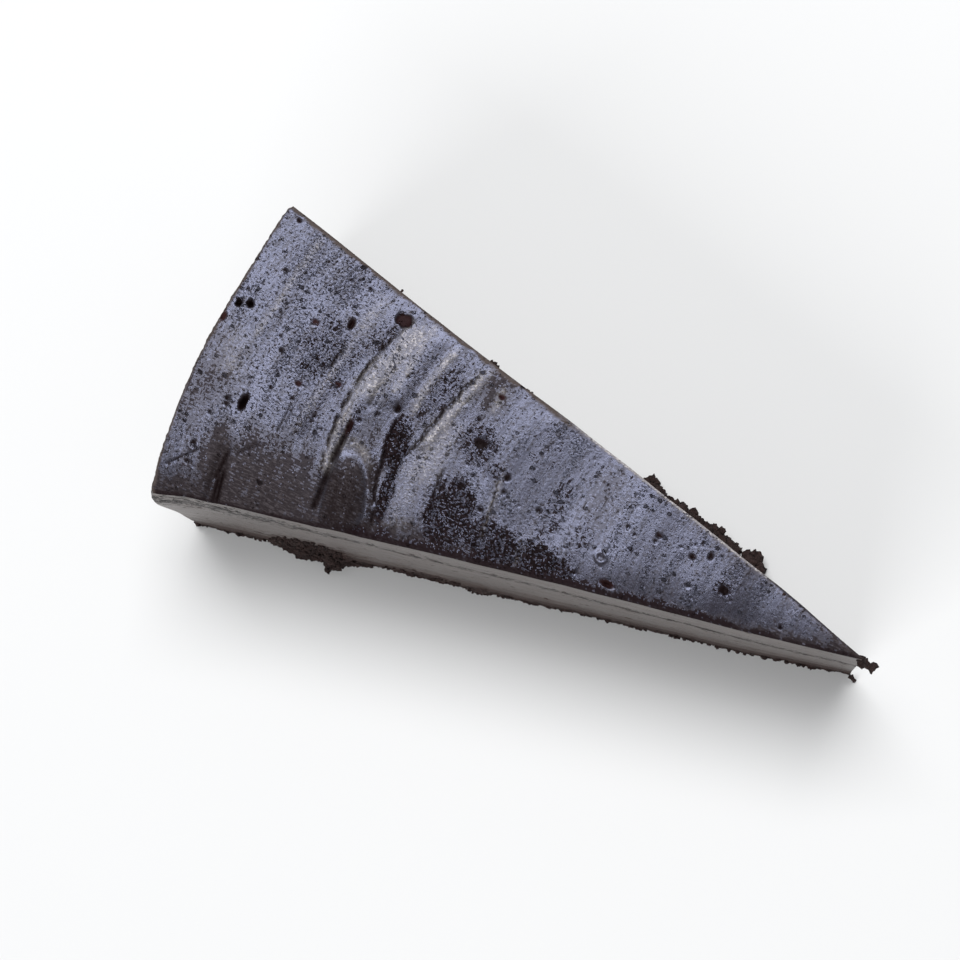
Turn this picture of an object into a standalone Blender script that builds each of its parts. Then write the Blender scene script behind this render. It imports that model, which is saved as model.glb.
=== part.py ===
"""A slice of chocolate cake: a crumb base, a dense chocolate filling and a smooth, wrinkled top layer.

Metres, +Z up. The slice stands on z = 0. Its tip points to +X and its rim, part of the whole cake's
outside, faces -X. The origin is the middle of its footprint.
"""

import math
from collections import namedtuple

import bmesh
import bpy
from mathutils import Vector, noise

MM = 0.001

# The whole cake, and how it was cut.
CAKE_RADIUS = 127 * MM
SLICES = 14
HALF_ANGLE = math.pi / SLICES
TIP_CUT = 0.8 * MM  # the tip is blunt: it stops this far from the cake's centre
CENTRE_X = (CAKE_RADIUS + TIP_CUT) / 2  # where the whole cake's centre lies

# How the cuts and the rim stray from straight lines and a circle. The near cut, at -Y, leans: its top
# stands in and its foot stands out.
NEAR_TOP_IN = 1.0 * MM
NEAR_FOOT_OUT = 0.5 * MM
FAR_BOW = 0.7 * MM  # the far cut bows out along its tip half
RIM_FLARE = 0.8 * MM  # the rim stands out at its far corner
CORNER_TRIM = 0.4 * MM  # the rim's upright corners are blunt

# Heights of the layers.
TOTAL_HEIGHT = 41 * MM
BASE_HEIGHT = 9 * MM
TOP_AT_RIM = 5.5 * MM  # thickness of the top layer at the rim
TOP_AT_TIP = 17.5 * MM  # and at the tip, where the filling had sunk
GAP = 0.3 * MM  # between one layer and the next

# How uneven the sides are.
RIM_WAVE = 0.25 * MM
CUT_WAVE = 0.15 * MM
WANDER = 9 * MM  # the span of those waves
CRUMB_ROUGHNESS = 0.45 * MM
CRUMB = 2.2 * MM  # the size of the base's nubs
LUMP = 3 * MM  # and of the lumps in spilled crumbs
EDGE_DROP = 0.7 * MM  # how far the top rolls down at its outline
ROLL_SIDE = 0.03  # how far in the roll starts, as a share of the slice's width there
ROLL_END = 0.009  # and of its length
DISH = 0.9 * MM  # how far the top has sunk at the tip
SWELL = 0.45 * MM  # broad unevenness of the top
SWELL_SPAN = Vector((13, 30)) * MM

# A ridge of the top's skin, from side low to side high. Its crest crosses the slice's middle at reach,
# measured from the cake's centre, where it leans by lean, and it curls towards the tip at both ends.
# Steep ones drop off towards the rim.
Wrinkle = namedtuple("Wrinkle", "reach lean curl low high height width steep")
WRINKLES = (
    Wrinkle(119.8 * MM, -0.12, 0.0, 4 * MM, 27 * MM, 0.30 * MM, 1.3 * MM, 1.0),
    Wrinkle(104.6 * MM, -0.09, 3.0, -9 * MM, 21 * MM, 0.35 * MM, 1.2 * MM, 1.0),
    Wrinkle(98.6 * MM, 0.03, 11.5, -14 * MM, 21 * MM, 1.15 * MM, 2.6 * MM, 3.0),
    Wrinkle(94.2 * MM, -0.05, 4.0, 0 * MM, 10 * MM, 0.45 * MM, 1.2 * MM, 1.5),
    Wrinkle(89.4 * MM, -0.06, 3.0, 5 * MM, 19 * MM, 0.70 * MM, 1.5 * MM, 1.2),
    Wrinkle(85.2 * MM, -0.28, 0.0, -6 * MM, 18 * MM, 0.80 * MM, 1.8 * MM, 1.3),
    Wrinkle(70.0 * MM, -0.10, 6.0, -8 * MM, 15 * MM, 0.35 * MM, 2.4 * MM, 1.0),
)

# A fold that is pressed into the skin, from one end to the other.
Crease = namedtuple("Crease", "start end depth width")
CREASES = (
    Crease(Vector((115.4, -13.5)) * MM, Vector((112.9, -25.5)) * MM, 1.2 * MM, 1.1 * MM),
    Crease(Vector((97.2, -3.5)) * MM, Vector((96.8, -18.0)) * MM, 0.8 * MM, 1.0 * MM),
    Crease(Vector((90.2, -2.5)) * MM, Vector((87.0, -17.5)) * MM, 1.1 * MM, 1.3 * MM),
)
# The smooth tongue of skin that lies between the last two creases and runs over the near cut.
TONGUE_CENTRE = Vector((92.3, -15.0)) * MM
TONGUE_HALF = Vector((4.2, 9.5)) * MM
TONGUE_HEIGHT = 0.9 * MM
FADE = 3 * MM  # wrinkles die out over this length at their ends

# Crumbs that spilled out of the base at the cuts: reach, half length along the cut, how far out.
Spill = namedtuple("Spill", "reach half out")
FAR_SPILLS = (
    Spill(26.0 * MM, 3.6 * MM, 6.8 * MM),
    Spill(33.5 * MM, 8.0 * MM, 5.4 * MM),
    Spill(41.0 * MM, 6.0 * MM, 5.2 * MM),
    Spill(47.8 * MM, 6.5 * MM, 5.2 * MM),
)
NEAR_SPILLS = (
    Spill(69.3 * MM, 3.5 * MM, 0.7 * MM),
    Spill(99.5 * MM, 9.0 * MM, 1.5 * MM),
    Spill(96.5 * MM, 2.4 * MM, 2.7 * MM),
)

# Grid cells along and across each layer, and rows of faces up its sides.
Cells = namedtuple("Cells", "long wide rows")
TOP_CELLS = Cells(104, 16, 2)
FILLING_CELLS = Cells(40, 6, 5)
BASE_CELLS = Cells(88, 14, 6)
SHARP_ANGLE = math.radians(40)  # steeper edges between faces stay crisp

Finish = namedtuple("Finish", "colour roughness")
FINISHES = {
    "crumb_base": Finish((0.030, 0.018, 0.013, 1), 0.95),
    "chocolate_filling": Finish((0.075, 0.048, 0.036, 1), 0.60),
    "top_layer": Finish((0.035, 0.022, 0.018, 1), 0.30),
}


def wave(x, y, z=0.0):
    """Smooth noise from -1 to 1, the same each run."""
    return noise.noise(Vector((x, y, z)))


def bell(x):
    return math.exp(-x * x)


def ramp(x):
    """0 below 0, 1 above 1, and smooth between."""
    x = min(1.0, max(0.0, x))
    return x * x * (3 - 2 * x)


def ridge(wrinkle, reach, side):
    """Height that a wrinkle adds at a point of the top."""
    line = wrinkle.reach + wrinkle.lean * side - wrinkle.curl * side * side
    off = (reach - line) / wrinkle.width
    if off > 0:
        off *= wrinkle.steep
    along = ramp((side - wrinkle.low) / FADE) * ramp((wrinkle.high - side) / FADE)
    return wrinkle.height * bell(off) * along


def fold(crease, reach, side):
    """Depth that a crease takes at a point of the top."""
    run = crease.end - crease.start
    point = Vector((reach, side)) - crease.start
    share = min(1.0, max(0.0, point.dot(run) / run.length_squared))
    off = (point - run * share).length
    return crease.depth * bell(off / crease.width) * ramp(0.25 + 2 * share)


def tongue(reach, side):
    """Height of the tongue of skin at a point of the top."""
    across = (reach - TONGUE_CENTRE.x) / TONGUE_HALF.x
    along = max(0.0, side - TONGUE_CENTRE.y) / TONGUE_HALF.y
    return TONGUE_HEIGHT * ramp(1.3 * (1 - math.hypot(across, along)))


def top_height(reach, side):
    """Height of the cake's top above the plate, without its rolled edge."""
    sunk = DISH * (1 - reach / CAKE_RADIUS) ** 2
    swell = SWELL * wave(reach / SWELL_SPAN.x, side / SWELL_SPAN.y)
    ridges = sum(ridge(wrinkle, reach, side) for wrinkle in WRINKLES)
    folds = sum(fold(crease, reach, side) for crease in CREASES)
    return TOTAL_HEIGHT - sunk + swell + ridges + tongue(reach, side) - folds


def seam_height(reach):
    """Height of the flat, sloping seam between the filling and the top layer."""
    share = reach / CAKE_RADIUS
    return TOTAL_HEIGHT - TOP_AT_TIP + (TOP_AT_TIP - TOP_AT_RIM) * share


def spill_out(spills, reach, height):
    """How far crumbs stand out of the base at a point of a cut: most at the bottom."""
    out = 0.0
    for spill in spills:
        lumps = 0.85 + 0.45 * wave(reach / LUMP, 1.3 * height / LUMP, 5.0)
        out = max(out, spill.out * lumps * ramp(1.4 * (1 - abs(reach - spill.reach) / spill.half)))
    return out * ramp(1.9 * (1 - height / BASE_HEIGHT))


def plan(share, across):
    """Reach and side of a point of the slice's plan: share runs from tip to rim, across from -1 to 1."""
    rim = CAKE_RADIUS + RIM_FLARE * ramp(2 * across - 1) - CORNER_TRIM * ramp(25 * abs(across) - 24)
    radius = TIP_CUT + share * (rim - TIP_CUT)
    angle = across * HALF_ANGLE
    return radius * math.cos(angle), radius * math.sin(angle)


def lean(share, across, height):
    """How far a point of the plan moves sideways at a height, because the cuts stray from flat."""
    if across > 0:
        return across * FAR_BOW * ramp(6 * share) * (1 - ramp(3 * share - 1.2))
    up = height / TOTAL_HEIGHT
    top_in = NEAR_TOP_IN * ramp(1.8 * share) * (1 - 0.7 * ramp(20 * share - 19))
    foot_out = NEAR_FOOT_OUT * ramp(5 * share + 0.2)
    return across * (foot_out * (1 - up) - top_in * up)


def block(cells, flat_ends):
    """A closed block over a grid of cells: x and y run from -1 to 1, z from 0 to 1.

    The ends in flat_ends, 0 for the lower and 1 for the upper, are one face each.
    """
    bm = bmesh.new()
    bmesh.ops.create_grid(bm, x_segments=cells.long, y_segments=cells.wide, size=1.0)
    grown = bmesh.ops.extrude_face_region(bm, geom=bm.faces[:])
    for vert in (item for item in grown["geom"] if isinstance(item, bmesh.types.BMVert)):
        vert.co.z = 1.0
    uprights = [edge for edge in bm.edges if abs(edge.verts[0].co.z - edge.verts[1].co.z) > 0.5]
    bmesh.ops.subdivide_edges(bm, edges=uprights, cuts=cells.rows - 1)
    for end in flat_ends:
        cap = {face for face in bm.faces if all(abs(vert.co.z - end) < 1e-4 for vert in face.verts)}
        rims = {edge for face in cap for edge in face.edges}
        inner = [edge for edge in rims if all(face in cap for face in edge.link_faces)]
        bmesh.ops.dissolve_edges(bm, edges=inner, use_verts=True)
    return bm


def narrow_ends(value, cells, edge):
    """Moves a grid line, from 0 to 1, so that the first and the last of the cells are edge wide."""
    if value < 0.5 / cells or value > 1 - 0.5 / cells:
        return value
    return edge + (value - 1 / cells) * (1 - 2 * edge) / (1 - 2 / cells)


def outwards(share, across):
    """Unit direction out of the slice at its outline, or None inside it."""
    if share > 0.9999:
        return Vector((math.cos(across * HALF_ANGLE), math.sin(across * HALF_ANGLE)))
    if abs(across) > 0.9999:
        return Vector((-math.sin(HALF_ANGLE), math.copysign(math.cos(HALF_ANGLE), across)))
    return None


def shaped(bm, place):
    """Moves each vertex of a block to where place(share, across, up) puts it."""
    for vert in bm.verts:
        share, across, up = (1 - vert.co.x) / 2, vert.co.y, vert.co.z
        reach, side, height = place(share, across, up)
        vert.co = (CENTRE_X - reach, side, height)


def finished(name, bm, collection):
    """The block as an object with its own material."""
    bmesh.ops.recalc_face_normals(bm, faces=bm.faces[:])
    mesh = bpy.data.meshes.new(name)
    bm.to_mesh(mesh)
    bm.free()
    mesh.shade_smooth()
    mesh.set_sharp_from_angle(angle=SHARP_ANGLE)
    piece = bpy.data.objects.new(name, mesh)
    collection.objects.link(piece)
    material = bpy.data.materials.new(name)
    material.use_nodes = True
    shader = material.node_tree.nodes["Principled BSDF"]
    shader.inputs["Base Color"].default_value = FINISHES[name].colour
    shader.inputs["Roughness"].default_value = FINISHES[name].roughness
    mesh.materials.append(material)
    return piece


def side_wave(share, across, height):
    """How far a plain side wanders in or out: the rim more than the cuts."""
    reach, side = plan(share, across)
    if share > 0.9999:
        return RIM_WAVE * wave(side / WANDER, height / WANDER, 2.0)
    return CUT_WAVE * wave(reach / WANDER, height / WANDER, 7.0 + across)


def top_layer(collection):
    bm = block(TOP_CELLS, flat_ends=(0,))

    def place(share, across, up):
        share = narrow_ends(share, TOP_CELLS.long, ROLL_END)
        across = 2 * narrow_ends((across + 1) / 2, TOP_CELLS.wide, ROLL_SIDE) - 1
        reach, side = plan(share, across)
        out = outwards(share, across)
        height = seam_height(reach) + GAP
        if up > 0.0:
            top = top_height(reach, side) - (EDGE_DROP if out else 0.0)
            height += (top - height) * up
        side += lean(share, across, height)
        if out:
            move = out * side_wave(share, across, height)
            reach, side = reach + move.x, side + move.y
        return reach, side, height

    shaped(bm, place)
    return finished("top_layer", bm, collection)


def chocolate_filling(collection):
    bm = block(FILLING_CELLS, flat_ends=(0, 1))

    def place(share, across, up):
        reach, side = plan(share, across)
        low = BASE_HEIGHT + GAP
        out = outwards(share, across)
        height = low + (seam_height(reach) - low) * up
        side += lean(share, across, height)
        if out and 0.0 < up < 1.0:
            move = out * side_wave(share, across, height)
            reach, side = reach + move.x, side + move.y
        return reach, side, height

    shaped(bm, place)
    return finished("chocolate_filling", bm, collection)


def crumb_base(collection):
    bm = block(BASE_CELLS, flat_ends=(0, 1))

    def place(share, across, up):
        reach, side = plan(share, across)
        height = BASE_HEIGHT * up
        side += lean(share, across, height)
        out = outwards(share, across)
        if out:
            bumps = wave(reach / CRUMB, side / CRUMB, height / CRUMB)
            spills = NEAR_SPILLS if across < 0 else FAR_SPILLS
            stand = CRUMB_ROUGHNESS * bumps
            if share < 0.9999:
                stand += spill_out(spills, reach, height)
            move = out * stand
            reach, side = reach + move.x, side + move.y
        return reach, side, height

    shaped(bm, place)
    return finished("crumb_base", bm, collection)


def main():
    for old in list(bpy.data.objects):
        bpy.data.objects.remove(old)
    parts = bpy.data.collections.new("chocolate_cake_slice")
    bpy.context.scene.collection.children.link(parts)
    crumb_base(parts)
    chocolate_filling(parts)
    top_layer(parts)


main()
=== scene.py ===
"""The looks of a slice of chocolate cake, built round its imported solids.

The slice lies in the frame of its solids, +Z up. Sizes and places are in millimetres, which place() turns to
metres, but those of the panel and the stage are in metres. Places on the slice are given by reach, the
distance from the whole cake's centre towards the rim, by side, which is above 0 towards the far cut, and
by height.
"""

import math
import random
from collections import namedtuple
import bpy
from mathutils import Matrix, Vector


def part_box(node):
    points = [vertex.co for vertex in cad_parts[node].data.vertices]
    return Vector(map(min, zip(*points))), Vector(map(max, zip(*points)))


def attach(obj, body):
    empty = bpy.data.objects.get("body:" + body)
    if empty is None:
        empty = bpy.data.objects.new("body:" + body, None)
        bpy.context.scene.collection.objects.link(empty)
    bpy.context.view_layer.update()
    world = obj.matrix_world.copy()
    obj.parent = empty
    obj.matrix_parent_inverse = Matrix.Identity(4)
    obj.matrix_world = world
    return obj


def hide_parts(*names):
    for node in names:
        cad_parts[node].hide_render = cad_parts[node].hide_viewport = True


bl_info = {
    "name": "Chocolate cake slice",
    "version": (1, 0, 0),
    "blender": (4, 5, 0),
    "location": "3D View > Sidebar > Cake",
    "description": "Builds a slice of chocolate cake with a wrinkled skin, cut sides and a crumb base",
    "category": "Object",
}

from types import SimpleNamespace

import bpy
import numpy as np
from mathutils import Vector, kdtree, noise

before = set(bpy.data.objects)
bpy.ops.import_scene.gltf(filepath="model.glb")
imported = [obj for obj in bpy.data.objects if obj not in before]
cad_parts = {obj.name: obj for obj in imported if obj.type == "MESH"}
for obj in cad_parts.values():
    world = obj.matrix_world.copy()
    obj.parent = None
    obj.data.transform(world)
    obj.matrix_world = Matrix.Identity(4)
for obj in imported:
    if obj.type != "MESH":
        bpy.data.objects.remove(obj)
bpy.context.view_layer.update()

MM = 0.001  # in metres
PORE_SEED = 11
CRUMB_SEED = 23
NEAR, RIM, FAR = -1, 0, 1  # the slice's three sides
GLOSSY, SATIN, DULL, BARE, WALL = range(5)  # slots of the top's materials

# The whole cake and its cuts, as the solids have them.
CAKE_RADIUS = 127
HALF_ANGLE = math.pi / 14
TIP_CUT = 0.8
CENTRE_X = (CAKE_RADIUS + TIP_CUT) / 2
NEAR_TOP_IN = 1.0
NEAR_FOOT_OUT = 0.5
FAR_BOW = 0.7
RIM_FLARE = 0.8
CORNER_TRIM = 0.4
TOTAL_HEIGHT = 41
BASE_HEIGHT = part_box("crumb_base")[1].z / MM
SEAM_AT_RIM = TOTAL_HEIGHT - 5.5
SEAM_AT_TIP = TOTAL_HEIGHT - 17.5

# Broad shape of the top.
DISH = 0.9
SWELL = 0.45
SWELL_SPAN = Vector((13, 30))
FADE = 3
FLOW_CURL = 0.009  # streaks of the skin bow towards the rim at the slice's middle, per millimetre

# A ridge of the skin, from side low to side high. Its crest crosses the slice's middle at reach, where it
# leans by lean, and it curls towards the tip at both ends. Steep ones drop off towards the rim.
Wrinkle = namedtuple("Wrinkle", "reach lean curl low high height width steep")
WRINKLES = (
    Wrinkle(119.8, -0.12, 0, 4, 27, 0.12, 1.3, 1.0),
    Wrinkle(104.6, -0.09, 0.003, -9, 21, 0.14, 1.2, 1.0),
    Wrinkle(98.2, 0.03, 0.0115, -14, 21, 0.36, 3.4, 2.4),
    Wrinkle(91.9, 0.0, 0.006, 3, 20, 0.18, 1.8, 1.0),
    Wrinkle(88.5, 0.063, 0.0104, 4, 19, 0.13, 0.9, 1.3),
    Wrinkle(84.1, -0.265, 0, -2, 18, 0.18, 1.2, 1.3),
    Wrinkle(70.0, -0.10, 0.006, -8, 15, 0.10, 2.4, 1.0),
)

# A fold that is pressed into the skin, from its shallow start to its deep end, and how dark its floor is
# painted: painted shade.
Crease = namedtuple("Crease", "start end depth width dark")
CREASES = (
    Crease(Vector((115.6, -12.5)), Vector((114.0, -26.0)), 0.6, 1.1, 0.20),
    Crease(Vector((114.5, -14.6)), Vector((114.5, -21.5)), 0.7, 0.42, 1.0),
    Crease(Vector((114.4, -19.0)), Vector((113.2, -25.6)), 0.7, 0.46, 1.0),
    Crease(Vector((113.9, -17.5)), Vector((112.5, -25.4)), 0.6, 0.38, 1.0),
    Crease(Vector((109.2, -12.0)), Vector((112.4, -15.8)), 0.22, 0.55, 0.25),
    Crease(Vector((116.6, -15.6)), Vector((123.2, -22.6)), 0.10, 0.26, 0.45),
    Crease(Vector((95.3, 9.0)), Vector((95.5, 2.6)), 0.20, 0.60, 0.30),
    Crease(Vector((97.1, -2.0)), Vector((97.4, -9.5)), 0.7, 0.45, 0.9),
    Crease(Vector((97.4, -7.5)), Vector((96.6, -18.6)), 0.5, 0.38, 0.8),
    Crease(Vector((108.0, -0.5)), Vector((108.0, -9.0)), 0.14, 0.35, 0.35),
)
# A thin crack that follows a line across the skin, as a wrinkle does. Dark is how much painted shade fills
# it.
Crack = namedtuple("Crack", "reach lean curl low high depth width dark")
CRACKS = (
    Crack(100.0, 0.0, 0.0115, -15, 17, 0.28, 0.14, 0.9),
    Crack(90.2, 0.063, 0.0104, -19, 4, 0.34, 0.17, 0.9),
    Crack(85.3, -0.265, 0, -5, 16, 0.25, 0.14, 0.8),
    Crack(83.2, -0.265, 0, 6, 13, 0.15, 0.40, 0.3),
    Crack(105.3, -0.04, 0.006, 3, 14, 0.20, 0.17, 0.8),
    Crack(98.8, 0.0, 0.0115, -9, 9, 0.10, 0.20, 0.3),
    Crack(79.0, 0.02, 0.003, -14, -1, 0.25, 0.18, 0.7),
    Crack(69.4, 0.14, 0, -13, 2, 0.15, 0.17, 0.7),
)
TONGUE_CENTRE = Vector((92.4, -15.0))
TONGUE_HALF = Vector((4.2, 8.8))
TONGUE_LEAN = 0.25
TONGUE_HEIGHT = 0.85
TONGUE_MOAT = 0.25
# How the top slopes or rolls down at its outline: over what width and how far.
Roll = namedtuple("Roll", "width drop")
NEAR_SLOPE = Roll(7.5, 0.45)
NEAR_ROLL = Roll(1.1, 0.45)
FAR_ROLL = Roll(0.6, 0.25)
RIM_ROLL = Roll(0.5, 0.30)

# A hollow in the skin: where, half its length both ways, depth, and how red its floor is.
Hollow = namedtuple("Hollow", "reach side half_reach half_side depth ruddy")
HOLLOWS = (
    Hollow(116.0, -7.0, 0.80, 1.90, 1.6, 0.0),
    Hollow(124.9, 8.7, 0.65, 0.72, 1.3, 0.0),
    Hollow(123.0, 9.4, 0.70, 0.75, 1.4, 0.0),
    Hollow(105.1, 13.9, 0.65, 1.20, 0.8, 0.2),
    Hollow(97.2, -2.7, 0.60, 1.70, 0.9, 0.4),
    Hollow(91.0, 4.0, 0.60, 1.00, 0.6, 0.0),
    Hollow(102.4, 3.3, 0.70, 0.45, 0.4, 0.9),
    Hollow(108.8, 0.4, 0.70, 0.50, 0.4, 0.8),
    Hollow(111.0, 11.4, 0.85, 0.60, 0.3, 0.8),
    Hollow(126.3, 5.4, 0.60, 1.00, 0.6, 0.9),
    Hollow(121.9, 26.4, 0.50, 0.40, 0.4, 0.2),
    Hollow(120.2, -20.9, 0.70, 0.50, 0.3, 0.0),
    Hollow(118.6, -8.6, 0.60, 0.50, 0.3, 0.0),
    Hollow(120.7, -17.5, 0.60, 0.80, 0.3, 0.0),
    Hollow(114.2, 4.3, 0.50, 0.50, 0.3, 0.0),
    Hollow(75.2, 4.6, 1.90, 1.40, 0.35, 0.0),
    Hollow(75.6, 13.4, 0.70, 0.50, 0.6, 1.0),
    Hollow(45.0, -8.1, 1.50, 0.80, 0.9, 0.55),
    Hollow(40.6, 3.5, 0.80, 0.45, 0.4, 0.2),
    Hollow(40.8, 2.4, 0.45, 0.35, 0.3, 0.0),
    Hollow(34.0, 2.7, 0.75, 0.50, 0.4, 0.2),
    Hollow(31.2, 4.0, 0.55, 0.80, 0.4, 0.1),
    Hollow(26.6, 0.1, 1.20, 0.90, 0.6, 0.05),
    Hollow(15.4, -1.3, 0.35, 0.50, 0.5, 0.0),
    Hollow(68.4, 1.4, 0.60, 0.80, 0.4, 0.0),
    Hollow(70.2, -5.9, 0.60, 0.50, 0.4, 0.0),
)
CHIP = Hollow(97.1, 18.4, 1.55, 1.35, 0.6, 0.6)
CHIP_EDGE = 4.0  # how steep the chip's walls are

# A burst bubble: a low ring of skin round a shallow floor.
Ring = namedtuple("Ring", "reach side radius height")
RINGS = (
    Ring(48.0, -4.2, 0.90, 0.13),
    Ring(91.5, -17.0, 0.95, 0.10),
    Ring(120.6, -18.0, 0.70, 0.07),
)

SHARP = 1.9  # how steeply a patch fades at its outline
# A soft-edged oval on the skin: where, half its length both ways, lean, and how strong it is.
Patch = namedtuple("Patch", "reach side half_reach half_side lean strength")
BARE_PATCHES = (
    Patch(74.6, -9.2, 5.1, 7.8, 0.10, 0.86),
    Patch(66.3, -10.6, 6.0, 4.4, 0.10, 0.90),
    Patch(57.5, -10.2, 7.5, 3.8, 0.20, 0.95),
    Patch(88.2, -2.0, 2.6, 5.5, 0.16, 1.0),
    Patch(86.3, -10.5, 1.3, 6.5, 0.14, 1.0),
    Patch(85.6, 9.5, 2.9, 7.0, -0.20, 0.52),
    Patch(75.4, 4.6, 4.2, 3.6, 0.0, 0.6),
    Patch(70.5, 1.6, 2.4, 1.6, 0.2, 0.6),
    Patch(107.4, 7.6, 4.6, 6.5, 0.0, 0.45),
    Patch(102.4, 8.0, 2.4, 8.5, -0.15, 0.38),
    Patch(104.8, -1.0, 1.8, 9.0, -0.05, 0.36),
    Patch(97.6, -3.0, 1.6, 6.0, -0.05, 0.50),
    Patch(98.3, 14.0, 1.3, 4.0, -0.22, 0.60),
    Patch(58.5, 0.0, 2.4, 7.5, 0.0, 0.50),
    Patch(52.5, -3.5, 2.2, 4.5, 0.0, 0.50),
    Patch(26.8, 0.2, 1.9, 1.5, 0.0, 0.55),
    Patch(64.6, 9.0, 3.0, 4.5, 0.0, 0.28),
)
# Smooth, dull brown skin without pores.
BROWN_PATCHES = (
    Patch(92.8, -14.5, 5.2, 10.5, 0.0, 1.0),
    Patch(92.0, -2.5, 3.4, 3.2, 0.0, 0.35),
    Patch(106.0, -21.5, 13.5, 11.5, 0.0, 1.0),
    Patch(116.0, -18.5, 3.4, 7.5, 0.10, 1.0),
    Patch(104.0, -13.0, 9.0, 5.5, 0.0, 0.25),
    Patch(124.0, -7.0, 6.5, 11.0, 0.0, 0.42),
    Patch(77.0, 14.5, 3.6, 6.0, 0.0, 0.6),
    Patch(51.5, 5.0, 4.0, 8.0, 0.0, 0.35),
    Patch(2.0, 0.0, 8.0, 6.0, 0.0, 0.8),
)
# Pale, dusty streaks that run along the wrinkles.
Streak = namedtuple("Streak", "reach lean curl low high width strength")
STREAKS = (
    Streak(98.6, -0.27, 0, 2, 20.5, 2.2, 0.95),
    Streak(98.7, -0.02, 0.008, -13, 7, 0.9, 0.95),
    Streak(93.6, -0.10, 0, 5, 21, 0.7, 0.90),
    Streak(88.4, 0.063, 0.0104, 3, 19, 0.7, 0.95),
    Streak(84.1, -0.265, 0, -1, 18, 0.9, 1.00),
    Streak(82.2, -0.10, 0, -8, 8, 2.8, 0.55),
    Streak(83.5, 0.05, 0, -17, -3, 2.4, 0.22),
    Streak(120.3, -0.14, 0, 3, 27, 0.6, 0.60),
    Streak(121.5, -0.02, 0, -5, 6, 2.6, 0.30),
    Streak(104.9, -0.13, 0, -9, 22, 0.8, 0.45),
    Streak(104.6, -0.13, 0, 11, 22, 1.5, 0.40),
    Streak(75.5, 0.02, 0, 9, 16, 0.7, 0.65),
    Streak(69.4, 0.14, 0, -12, 3, 0.55, 0.50),
    Streak(61.5, 0.05, 0, -14, -6, 0.8, 0.35),
)

# Crumbs that spilled out of the base at the cuts: reach, half length along the cut, how far out.
Spill = namedtuple("Spill", "reach half out")
FAR_SPILLS = (
    Spill(26.0, 3.6, 6.8),
    Spill(33.5, 8.0, 5.4),
    Spill(41.0, 6.0, 5.2),
    Spill(47.8, 6.5, 5.2),
)
NEAR_SPILLS = (
    Spill(69.3, 3.5, 0.7),
    Spill(99.5, 9.0, 1.5),
    Spill(96.5, 2.4, 2.7),
)
LUMP = 3

FOOT_CRUMBS = 330  # all along the foot of the near cut
PATCH_CRUMBS = 760  # in its bare patch
CLUMP_CRUMBS = 90  # in the clump nearer the tip

# Crumbs that stick to the torn tip, and small ones on the far edge of the top: reach, side, height, size.
TIP_CRUMBS = (
    (0.9, -0.1, 37.6, 0.70), (0.6, -0.4, 36.2, 0.75), (0.1, 0.1, 34.9, 0.70), (-0.6, -0.1, 33.9, 0.75),
    (-1.4, -0.1, 33.0, 0.92), (0.2, -0.2, 33.4, 0.60), (0.5, -0.1, 31.6, 0.50), (0.4, -0.7, 2.4, 0.50),
    (-0.3, -0.9, 0.5, 0.45),
)
EDGE_CRUMBS = (
    (79.4, 18.3, 40.6, 0.42), (78.7, 18.2, 40.5, 0.30), (80.1, 18.6, 40.3, 0.28), (72.2, 16.6, 40.5, 0.38),
    (71.4, 16.5, 40.3, 0.30), (57.8, 13.2, 40.4, 0.24), (50.6, 11.6, 40.3, 0.26), (17.3, 4.1, 40.2, 0.30),
    (36.2, 8.4, 40.2, 0.24), (99.8, 23.0, 40.6, 0.24),
)

# Rows of faces down the top layer's wall: under its edge, evenly spaced ones, and above the seam.
TOP_ROWS = (0.18, 0.45, 0.9)
MIDDLE_ROWS = 6
SEAM_ROWS = (1.6, 1.2, 0.85, 0.55, 0.3, 0.12, 0.0)
FILLING_ROWS = 44
BASE_ROWS = 26
TORN_DEPTH = 0.38  # how deep the torn pits of a cut are

# Specular level, least roughness and tint of each kind of skin.
SKIN_KINDS = {
    "glossy_skin": (0.87, 0.18, (0.68, 0.72, 1.0, 1)),
    "satin_skin": (0.62, 0.23, (0.75, 0.77, 1.0, 1)),
    "dull_skin": (0.15, 0.32, (0.92, 0.86, 1.0, 1)),
    "bare_skin": (0.07, 0.40, (1.0, 0.88, 0.95, 1)),
}
# Values stored for each vertex that mix the looks of the skin.
SKIN_FIELDS = ("bare", "brown", "dusty", "ruddy", "scuffed", "hollow", "porous")
# Specular level of the filling's cut, from clean to dragged over the base by the knife.
CUT_KINDS = {"cut_filling": 0.82, "dulled_filling": 0.50, "smeared_base": 0.22}

# Colours of small marks, beside those that the panel lists.
# Painted glints: lighter lavender dashes on brown skin.
PAINTED_GLINTS_ON_BROWN = (0.060, 0.050, 0.053, 1)
SCUFF = (0.090, 0.070, 0.062, 1)
# Near-black painted shade for pits, hollows, creases and cracks.
PIT_SHADE = (0.006, 0.003, 0.003, 1)
KNIFE_HAIRS = (0.020, 0.012, 0.010, 1)
SMEAR_CLOUDS = (0.090, 0.070, 0.066, 1)
# Painted shade in the cut's torn holes and pits.
TORN_SHADE = (0.010, 0.006, 0.005, 1)

# The stage, in metres and degrees.
FLOOR_SIZE = 8
LIGHT_DISTANCE = 3.0
LIGHT_COLOUR = (0.98, 0.99, 1.0)
ROOM_COLOUR = (0.94, 0.97, 1.0, 1)
ROOM_SEEN = 0.86  # brightness of the room where the camera sees it
CAMERA_PLACE = (0.0539, -0.0371, 0.4765)
CAMERA_TURN = (7.84, 5.24, 26.45)
CAMERA_LENS = 96.1


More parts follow.
